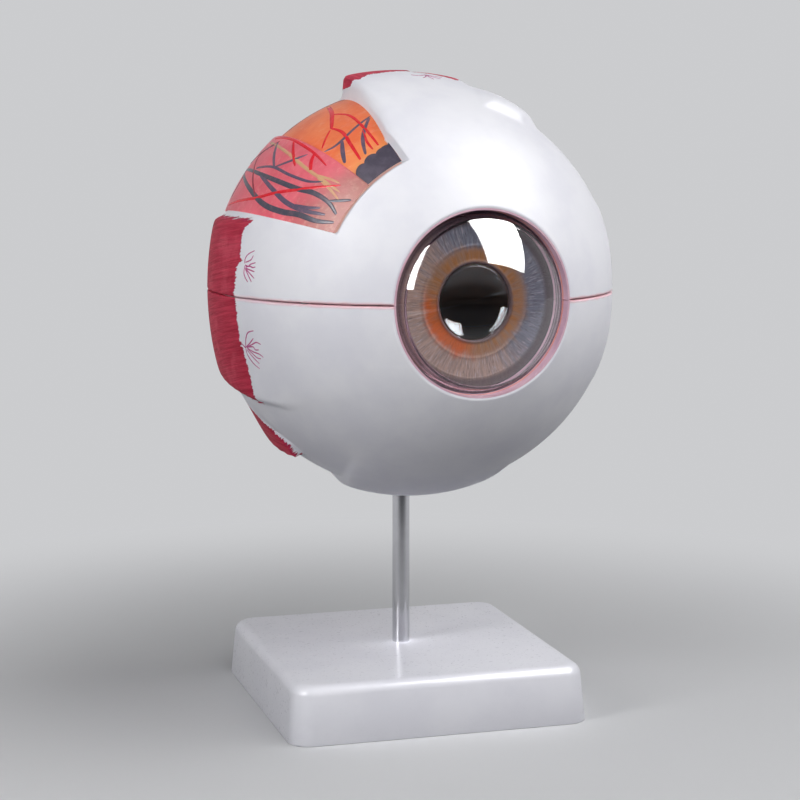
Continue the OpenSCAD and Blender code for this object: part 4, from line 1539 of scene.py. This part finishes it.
@dataclass
class Sprays:
    """Small sprays of vessels drawn in magenta where the muscles meet their tendons."""

    ball_r: float = 72.2
    muscles: Muscles = field(default_factory=Muscles)

    upper: tuple[tuple[tuple[float, float], ...], ...] = (
        ((10.0, 74.4), (11.3, 74.6), (12.7, 73.6), (14.1, 71.0)),
        ((10.4, 74.1), (10.9, 72.7), (11.5, 71.7), (12.7, 71.1)),
        ((9.6, 74.2), (9.4, 72.6), (10.1, 71.7), (10.8, 69.6)),
        ((9.1, 73.7), (9.5, 71.9), (9.3, 70.5), (9.6, 69.4)),
        ((8.8, 73.8), (8.5, 71.9), (8.2, 69.5)),
        ((8.5, 73.5), (7.6, 71.7), (6.3, 69.3)),
        ((8.6, 73.8), (7.1, 72.3), (5.2, 70.4)),
        ((9.4, 74.2), (7.5, 74.3), (6.2, 73.5), (5.0, 72.0)),
    )
    lower: tuple[tuple[tuple[float, float], ...], ...] = (
        ((-13.9, 75.7), (-11.3, 74.7), (-9.4, 73.1), (-8.8, 70.3)),
        ((-13.5, 75.2), (-12.5, 73.2), (-11.0, 71.0)),
        ((-13.7, 75.2), (-12.8, 72.1), (-12.2, 70.0), (-12.8, 68.3)),
        ((-13.7, 74.8), (-13.5, 72.1), (-14.4, 71.2), (-14.4, 69.7)),
        ((-13.9, 75.0), (-15.0, 72.5), (-15.7, 70.0), (-16.7, 68.6)),
        ((-14.2, 74.9), (-15.6, 73.0), (-16.8, 71.4), (-17.1, 69.8)),
        ((-14.5, 75.3), (-16.3, 73.6), (-18.6, 71.2)),
        ((-14.1, 75.8), (-15.9, 75.7), (-18.3, 74.1), (-20.1, 71.8)),
        ((-12.8, 77.3), (-14.0, 75.7)),
    )
    top: tuple[tuple[tuple[float, float], ...], ...] = (
        ((92.7, 87.8), (91.4, 86.6), (89.6, 86.0), (88.2, 86.6)),
        ((92.7, 87.8), (92.0, 85.4), (90.6, 83.8)),
        ((92.7, 87.8), (92.9, 85.0), (93.4, 83.0)),
        ((92.7, 87.8), (94.0, 85.6), (95.8, 84.2)),
        ((92.7, 87.8), (94.8, 86.6), (97.0, 86.4)),
    )

    def build(self) -> None:
        """Builds the sprays of both halves."""
        shell = WhiteShell(muscles=self.muscles)

        def height(half: Half, meridian: float, polar: float) -> float:
            """Height of the shell's relief at a spot."""
            spot = np.array([on_ball(meridian, polar)[:]]) * self.ball_r
            return float(shell.relief(half, spot)[0])

        for name, paths, half, spot, body in (
                ("spray_upper", self.upper, Half.UPPER, (9.0, 72.0), Body.UPPER),
                ("spray_lower", self.lower, Half.LOWER, (-14.0, 72.0), Body.LOWER),
                ("spray_top", self.top, Half.UPPER, (92.6, 86.0), Body.UPPER)):
            ball = Ball(self.ball_r + height(half, *spot))
            bm = paint_strokes([Stroke(path, 0.5, 0.75, 0.55) for path in paths], ball, 0.09)
            places = points_of(bm)
            radii = np.linalg.norm(places, axis=1)
            lifted = self.ball_r + shell.relief(half, places)
            move_to(bm, places * ((lifted + radii - ball.radius) / radii)[:, None])
            settle(name, bm, "spray", body, sharp=70.0)


# ---------------------------------------------------------------- front pieces


@dataclass
class FrontPieces:
    """Cornea, iris, lens and the coloured sleeve round them."""

    opening_r: float = 31.6
    sleeve: float = 0.6
    flange_y: float = 60.4
    cornea_t: float = 1.6
    cornea_r: float = 30.0
    cornea_h: float = 16.9
    cap_r: float = 40.0
    foot_lean: float = 17.0
    iris_r: float = 28.6
    iris_y: float = 57.2
    pupil_r: float = 12.9
    lens_r: float = 24.4
    lens_y: float = 47.0
    lens_front: float = 9.5
    lens_back: float = 11.0

    def build_cornea(self) -> None:
        """Clear cap on a steep foot, with a rounded shoulder, and the flange that carries it."""
        centre = self.flange_y + self.cornea_h - self.cap_r
        back = self.flange_y - self.cornea_t
        lean = math.tan(math.radians(self.foot_lean))

        def shoulder(wall: float, radius: float) -> tuple[list[tuple[float, float]], float]:
            """Rounding between cap and foot, a wall's thickness in, and its reach on the cap."""
            cap = self.cap_r - wall
            foot = self.cornea_r - wall / math.cos(math.radians(self.foot_lean))
            away, reach, spot = cap - radius, 0.0, (0.0, 0.0)
            for step in range(400):
                reach = foot * step / 400
                height = centre + math.sqrt(away ** 2 - reach ** 2)
                gap = (foot - (height - self.flange_y) * lean - reach) * math.cos(math.atan(lean))
                if gap <= radius:
                    spot = (reach, height)
                    break
            start = math.acos(spot[0] / away)
            end = math.atan(lean)
            turns = [start + (end - start) * k / 7 for k in range(8)]
            round_off = [(spot[0] + radius * math.cos(a), spot[1] + radius * math.sin(a)) for a in turns]
            return round_off, spot[0] * cap / away

        outer, edge = shoulder(0.0, 1.5)
        inner, inner_edge = shoulder(self.cornea_t, 0.8)
        flange = self.opening_r - self.sleeve - 0.3
        inside = self.cornea_r - self.cornea_t * 1.05
        profile = arc(self.cap_r, centre, 0.0, edge - 0.3, 44) + outer + [
            (self.cornea_r - 0.12, self.flange_y + 0.45),
            (self.cornea_r + 0.05, self.flange_y + 0.12),
            (self.cornea_r + 0.3, self.flange_y),
            (flange - 0.2, self.flange_y),
            (flange, self.flange_y - 0.2),
            (flange, back + 0.2),
            (flange - 0.2, back),
            (inside + self.cornea_t * lean, back),
            (inside, self.flange_y),
        ] + inner[::-1] + arc(self.cap_r - self.cornea_t, centre, inner_edge - 0.3, 0.0, 40)
        bm = lathe(profile, 192)
        bm.transform(ON_SIGHT)
        settle("cornea_dome", bm, "clear", Body.CORNEA, ["cornea"], 30.0)

    def build_limbus(self) -> None:
        """Dark ring painted under the cornea's flange."""
        back = self.flange_y - self.cornea_t
        outer = self.opening_r - self.sleeve - 0.45
        bm = lathe([(28.95, back + 0.12), (outer, back + 0.12), (outer, back + 0.3),
                    (28.95, back + 0.3)], 160)
        bm.transform(ON_SIGHT)
        settle("limbus_ring", bm, "limbus", Body.CORNEA)

    def build_iris(self) -> None:
        """Disc with a raised collar, faint ridges and a lip round the pupil."""
        front = []
        steps = 72
        for i in range(steps + 1):
            share = i / steps
            far = self.iris_r + (self.pupil_r + 0.45 - self.iris_r) * share
            part = far / self.iris_r
            height = 0.12 + 0.22 * (1 - part) + 0.24 * math.exp(-((part - 0.655) / 0.018) ** 2)
            height += 0.12 * math.exp(-((part - 0.885) / 0.008) ** 2)
            height += 0.4 * math.exp(-((far - self.pupil_r - 0.6) / 0.5) ** 2)
            front.append((far, height))
        profile = front + [(self.pupil_r, 0.35), (self.pupil_r, -1.4), (self.iris_r, -1.4)]
        bm = lathe(profile, 288)
        for vert in bm.verts:
            far = math.hypot(vert.co.x, vert.co.y)
            if vert.co.z > -0.5 and self.pupil_r + 1.2 < far < self.iris_r * 0.86:
                turn = math.atan2(vert.co.y, vert.co.x)
                ripple = math.sin(turn * 37 + 2 * math.sin(turn * 5)) + math.sin(turn * 61 + 1.7)
                vert.co.z += 0.03 * ripple * math.sin(math.pi * (far / self.iris_r - 0.45) / 0.41)
        bm.transform(Matrix.Translation((0, -self.iris_y, 0)) @ ON_SIGHT)
        settle("iris_disc", bm, "iris", Body.IRIS, ["iris"], 40.0)

    def build_lens(self) -> None:
        """Clear lens with a short boss that fills the pupil."""
        front_r = (self.lens_r ** 2 + self.lens_front ** 2) / (2 * self.lens_front)
        back_r = (self.lens_r ** 2 + self.lens_back ** 2) / (2 * self.lens_back)
        boss_r = self.pupil_r - 0.3
        boss_top = self.flange_y - self.cornea_t - self.lens_y - 0.4
        dome = 60.0
        rim = 1.1
        crown = arc(dome, boss_top - dome, 0.0, boss_r - rim - 0.1, 14)
        edge = crown[-1][1]
        shoulder = arc(front_r, self.lens_front - front_r, boss_r + 0.4, self.lens_r - 0.3, 18)
        belly = arc(-back_r, back_r - self.lens_back, self.lens_r - 0.3, 0.0, 30)
        turns = [math.pi * k / 12 for k in range(6, -1, -1)]
        profile = crown + [(boss_r - rim * (1 - math.cos(a)), edge - rim * (1 - math.sin(a)))
                           for a in turns] + [(boss_r, shoulder[0][1] + 0.3)]
        bm = lathe(profile + shoulder + belly, 160)
        bm.transform(Matrix.Translation((0, -self.lens_y, 0)) @ ON_SIGHT)
        settle("lens_clear", bm, "clear", Body.LENS, ["lens"], 30.0)

    def build_sleeve_line(self) -> None:
        """Peach line of paint where the sleeve meets the cornea's flange, one half on each body."""
        wall = self.opening_r - self.sleeve
        profile = [(wall + 0.05, self.flange_y - 0.1), (wall + 0.05, self.flange_y + 0.75),
                   (wall - 0.1, self.flange_y + 0.7), (wall - 0.16, self.flange_y + 0.1)]
        for name, body, side in (("peach_line_upper", Body.UPPER, 1),
                                 ("peach_line_lower", Body.LOWER, -1)):
            bm = lathe(profile, 192)
            bm.transform(ON_SIGHT)
            cut_all(bm, Vector((0, 0, 0.1 * side)), Vector((0, 0, -side)), dist=0.0001)
            bmesh.ops.holes_fill(bm, edges=[e for e in bm.edges if e.is_boundary], sides=8)
            bmesh.ops.recalc_face_normals(bm, faces=bm.faces)
            settle(name, bm, "peach", body)

    def build(self) -> None:
        """Builds the front pieces and dresses the ones from the frame."""
        self.build_cornea()
        self.build_limbus()
        self.build_iris()
        self.build_lens()
        self.build_sleeve_line()
        dress_node("ciliary_ring", "ciliary")
        dress_node("vitreous_front", "clear")
        dress_node("vitreous_back", "clear")


# ---------------------------------------------------------------- stand and inside


@dataclass
class Stand:
    """Square moulded foot and polished rod, in the row frame."""

    width: float = 110.0
    height: float = 20.7
    draft: float = 4.8
    corner: float = 8.0
    fillet: float = 4.0
    wall: float = 2.4
    rod_r: float = 3.2
    rod_foot: float = 8.0
    rib: float = 1.8
    rib_low: float = 7.0
    boss_r: float = 8.5

    def block(self) -> bmesh.types.BMesh:
        """Leaning block with rounded corners and top, hollow from below."""
        bm = bmesh.new()
        bmesh.ops.create_cube(bm, size=1.0)
        lean = self.height * math.tan(math.radians(self.draft))
        for vert in bm.verts:
            half = self.width / 2 - (lean if vert.co.z > 0 else 0)
            vert.co = (math.copysign(half, vert.co.x), math.copysign(half, vert.co.y),
                       self.height if vert.co.z > 0 else 0.0)
        upright = [e for e in bm.edges if abs(e.verts[0].co.z - e.verts[1].co.z) > 1]
        round_edges(bm, upright, self.corner, 12)
        rim = [e for e in bm.edges if min(v.co.z for v in e.verts) > self.height - 0.01]
        reach = self.fillet / math.tan(math.radians(90 + self.draft) / 2)
        round_edges(bm, rim, reach, 8, clamp=False)
        floor = [f for f in bm.faces if f.normal.z < -0.99]
        bmesh.ops.inset_region(bm, faces=floor, thickness=self.wall, depth=0.0)
        floor = [f for f in bm.faces if f.normal.z < -0.99 and len(f.verts) > 8]
        grown = bmesh.ops.extrude_face_region(bm, geom=floor)
        deep = self.height - self.wall
        shrink = 1 - deep * math.tan(math.radians(self.draft)) / (self.width / 2 - self.wall)
        for vert in verts_in(grown):
            vert.co = (vert.co.x * shrink, vert.co.y * shrink, deep)
        bmesh.ops.delete(bm, geom=[f for f in floor if f.is_valid], context="FACES_ONLY")
        foot = [e for e in bm.edges if max(v.co.z for v in e.verts) < 0.001
                and e.calc_face_angle(0) > 0.5]
        round_edges(bm, foot, 0.4)
        bmesh.ops.recalc_face_normals(bm, faces=bm.faces)
        return bm

    def inner_parts(self) -> bmesh.types.BMesh:
        """Boss round the rod's foot and the ribs that tie it to the walls."""
        top = self.height - self.wall / 2
        bm = lathe([(2.2, 5.5), (6.3, 5.5), (6.3, 0.0), (self.boss_r - 0.3, 0.0), (self.boss_r, 0.3),
                    (self.boss_r, top), (2.2, top)], 64)
        reach = self.width / 2 - self.wall - 0.6
        for k in range(4):
            turn = Matrix.Rotation(k * math.pi / 2, 4, "Z")
            size = Matrix.Diagonal((reach - self.boss_r + 1, self.rib, top - self.rib_low, 1))
            spot = Matrix.Translation(((reach + self.boss_r - 1) / 2, 0, (top + self.rib_low) / 2))
            bmesh.ops.create_cube(bm, size=1.0, matrix=turn @ spot @ size)
        return bm

    def build(self) -> None:
        """Builds the foot and the rod and dresses the fasteners."""
        bm = self.block()
        inside = self.inner_parts()
        spare = bpy.data.meshes.new("inside")
        inside.to_mesh(spare)
        inside.free()
        bm.from_mesh(spare)
        bpy.data.meshes.remove(spare)
        settle("foot_block", bm, "base", Body.STAND, ["base"], 30.0, ROW)
        _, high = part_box("rod")
        top = high.z / MM
        profile = [(0.0, self.rod_foot), (self.rod_r - 0.3, self.rod_foot),
                   (self.rod_r, self.rod_foot + 0.3), (self.rod_r, top - 0.6),
                   (self.rod_r - 0.6, top), (0.0, top)]
        rod = lathe(profile, 72)
        settle("rod_polished", rod, "steel", Body.STAND, ["rod"], 30.0, ROW)
        dress_node("rod_washer", "steel_dull")
        dress_node("rod_screw", "steel_dull")


@dataclass
class Inside:
    """Liners, nerve and fastenings that the frame already holds in the right shape."""

    finishes: tuple[tuple[str, str, str], ...] = (
        ("choroid_lower", "sleeve", "coat_pink"),
        ("choroid_upper", "sleeve", "coat_pink"),
        ("retina_lower", "liner_orange", "coat_orange"),
        ("retina_upper", "liner_orange", "coat_orange"),
        ("rod_bush", "brass", "brass"),
        ("seam_pins", "steel_dull", "steel"),
        ("nerve_sheath", "nerve_cream", "nerve_cream"),
        ("nerve_core", "nerve_yellow", "nerve_yellow"),
        ("central_artery", "vessel_red", "vessel_red"),
        ("central_vein", "vessel_blue", "vessel_blue"),
    )

    def build(self) -> None:
        """Dresses the nodes."""
        for node, key, slot in self.finishes:
            dress_node(node, key)


# ---------------------------------------------------------------- studio


@dataclass(frozen=True)
class SoftBox:
    """Rectangular lamp that faces the model, with a twin that only reflections see.

    azimuth is its direction from the model, in degrees from the front towards the nose side,
    elevation the height of that direction and roll its turn about it. size is in metres. power
    is in watts for the lamp that lights the model, and gleam for the twin; 0 leaves it out.
    """

    name: str
    azimuth: float
    elevation: float
    size: tuple[float, float]
    power: float = 0.0
    gleam: float = 0.0
    roll: float = 0.0


@dataclass
class Studio:
    """Pale floor, soft boxes and the camera at the photograph's angle.

    The pairs from strip_left on say where a soft change of the floor or the backdrop starts and
    ends: in metres for the floor, and as a part of the direction's Y for the backdrop.
    """

    camera_at: Point = (-0.2117, -0.7182, 0.2152)
    heading: tuple[float, float] = (0.2823, 0.9593)
    pitch: float = 7.882
    lens: float = 92.26
    target: Point = (0.0, -0.01, 0.15)
    lamp_distance: float = 1.1
    twin_nearer: float = 0.02
    backdrop: tuple[float, float, float, float] = (0.60, 0.605, 0.62, 1.0)
    floor_pale: tuple[float, float, float, float] = (0.66, 0.665, 0.68, 1.0)
    floor_dim: tuple[float, float, float, float] = (0.05, 0.05, 0.055, 1.0)
    room: tuple[float, float, float, float] = (0.92, 0.94, 1.0, 1.0)
    room_light: float = 0.06
    strip_left: tuple[float, float] = (-0.8, -0.74)
    strip_right: tuple[float, float] = (-0.56, -0.5)
    mirror_back: tuple[float, float] = (-0.4, 0.0)
    glow_far: tuple[float, float] = (0.1, 0.34)
    glow_back: tuple[float, float] = (-0.5, 0.0)
    paper_back: tuple[float, float] = (-0.3, 0.35)
    paper_dim: float = 0.06
    lamps: tuple[SoftBox, ...] = (
        SoftBox("right", 58.0, 49.0, (0.76, 0.97), power=5.4, gleam=84.0, roll=-35.0),
        SoftBox("left", -66.0, 14.0, (0.36, 0.85), power=6.0),
        SoftBox("strip", -63.0, 32.0, (0.36, 0.85), gleam=37.0),
        SoftBox("front", 0.0, 28.0, (0.8, 0.8), power=5.6),
        SoftBox("fill", 75.0, 5.0, (0.8, 0.8), power=3.4),
    )

    def build_camera(self) -> None:
        """Camera that sees the model as the photograph does."""
        data = bpy.data.cameras.new("camera")
        data.lens = self.lens
        data.sensor_width = 36.0
        camera = bpy.data.objects.new("camera", data)
        turn = math.atan2(-self.heading[0], self.heading[1])
        camera.location = self.camera_at
        camera.rotation_euler = (math.radians(90 - self.pitch), 0, turn)
        bpy.context.scene.collection.objects.link(camera)
        bpy.context.scene.camera = camera

    def build_lamp(self, box: SoftBox) -> None:
        """Builds one soft box and its twin, which hangs a little nearer so that rays meet it first."""
        a, e = math.radians(box.azimuth), math.radians(box.elevation)
        way = Vector((math.sin(a) * math.cos(e), -math.cos(a) * math.cos(e), math.sin(e)))
        roll = Matrix.Rotation(math.radians(box.roll), 3, "Z")
        turn = (way.to_track_quat("Z", "Y").to_matrix() @ roll).to_euler()
        for part, energy, nearer in (("light", box.power, 0.0), ("gleam", box.gleam, self.twin_nearer)):
            if not energy:
                continue
            data = bpy.data.lights.new(f"{box.name}_{part}", "AREA")
            data.shape = "RECTANGLE"
            data.size, data.size_y = box.size
            data.energy = energy
            lamp = bpy.data.objects.new(f"{box.name}_{part}", data)
            lamp.location = Vector(self.target) + way * (self.lamp_distance - nearer)
            lamp.rotation_euler = turn
            lamp.visible_diffuse = part == "light"
            lamp.visible_glossy = part == "gleam"
            lamp.visible_transmission = part == "gleam"
            bpy.context.scene.collection.objects.link(lamp)

    def seen_directly(self, tree: bpy.types.NodeTree) -> bpy.types.NodeSocket:
        """Output that is 1 for what camera, mirror and glass show."""
        path = tree.nodes.new("ShaderNodeLightPath")
        seen = path.outputs["Is Camera Ray"]
        for name in ("Is Glossy Ray", "Is Transmission Ray"):
            either = tree.nodes.new("ShaderNodeMath")
            either.operation = "MAXIMUM"
            tree.links.new(seen, either.inputs[0])
            tree.links.new(path.outputs[name], either.inputs[1])
            seen = either.outputs[0]
        return seen

    def build_floor(self) -> None:
        """Wide floor, pale to the camera, that runs into the backdrop and throws little light up."""
        bm = bmesh.new()
        bmesh.ops.create_grid(bm, x_segments=1, y_segments=1, size=4.0)
        mesh = bpy.data.meshes.new("floor")
        bm.to_mesh(mesh)
        bm.free()
        floor = bpy.data.objects.new("floor", mesh)
        bpy.context.scene.collection.objects.link(floor)
        g = Graph("floor_card")
        x, y, _ = g.split(g.in_row())
        far = g.maths("SQRT", g.plus(g.times(x, x), g.times(y, y)))
        seen = self.seen_directly(g.tree)
        # mirrors see a dim floor in front of the model, but for one pale strip at the left
        strip = g.times(g.rise(x, *self.strip_left), g.rise(x, *self.strip_right, 1.0, 0.0))
        mirrored = g.times(seen, g.maths("MAXIMUM", g.rise(y, *self.mirror_back), strip))
        camera = g.node("ShaderNodeLightPath").outputs["Is Camera Ray"]
        shade = g.blend(g.maths("MAXIMUM", camera, mirrored), self.floor_dim, self.floor_pale)
        card = g.node("ShaderNodeBsdfDiffuse", {"Color": shade})
        glow = g.node("ShaderNodeEmission", {"Color": self.backdrop, "Strength": 1.0})
        share = g.times(seen, g.times(g.rise(far, *self.glow_far), g.rise(y, *self.glow_back)))
        mixed = g.node("ShaderNodeMixShader", {0: share, 1: card.outputs[0], 2: glow.outputs[0]})
        g.feed(g.output.inputs[0], mixed.outputs[0])
        mesh.materials.append(g.material)

    def build_world(self) -> None:
        """Faint even light all round, and a backdrop that only camera, mirror and glass see."""
        world = bpy.data.worlds.new("studio")
        bpy.context.scene.world = world
        world.use_nodes = True
        tree = world.node_tree
        tree.nodes.clear()
        light = tree.nodes.new("ShaderNodeBackground")
        light.inputs["Color"].default_value = self.room
        light.inputs["Strength"].default_value = self.room_light
        # the pale backdrop hangs behind the model; the side of the camera stays dim
        way = tree.nodes.new("ShaderNodeSeparateXYZ")
        tree.links.new(tree.nodes.new("ShaderNodeTexCoord").outputs["Generated"], way.inputs[0])
        behind = tree.nodes.new("ShaderNodeMapRange")
        behind.inputs["From Min"].default_value = self.paper_back[0]
        behind.inputs["From Max"].default_value = self.paper_back[1]
        behind.inputs["To Min"].default_value = self.paper_dim
        tree.links.new(way.outputs["Y"], behind.inputs["Value"])
        paper = tree.nodes.new("ShaderNodeBackground")
        paper.inputs["Color"].default_value = self.backdrop
        tree.links.new(behind.outputs[0], paper.inputs["Strength"])
        mixed = tree.nodes.new("ShaderNodeMixShader")
        tree.links.new(self.seen_directly(tree), mixed.inputs[0])
        tree.links.new(light.outputs[0], mixed.inputs[1])
        tree.links.new(paper.outputs[0], mixed.inputs[2])
        output = tree.nodes.new("ShaderNodeOutputWorld")
        tree.links.new(mixed.outputs[0], output.inputs[0])

    def build(self) -> None:
        """Builds the whole studio."""
        self.build_camera()
        self.build_floor()
        self.build_world()
        for box in self.lamps:
            self.build_lamp(box)
        bpy.context.scene.view_settings.view_transform = "Standard"


def main() -> None:
    logging.basicConfig(level=logging.INFO, format="%(name)s: %(message)s")
    Studio().build()
    Stand().build()
    shell = WhiteShell()
    for half in Half:
        shell.build(half)
    Sprays().build()
    Window(shell=shell).build()
    FrontPieces().build()
    Inside().build()
    bpy.context.view_layer.update()


if __name__ == "__main__":
    main()
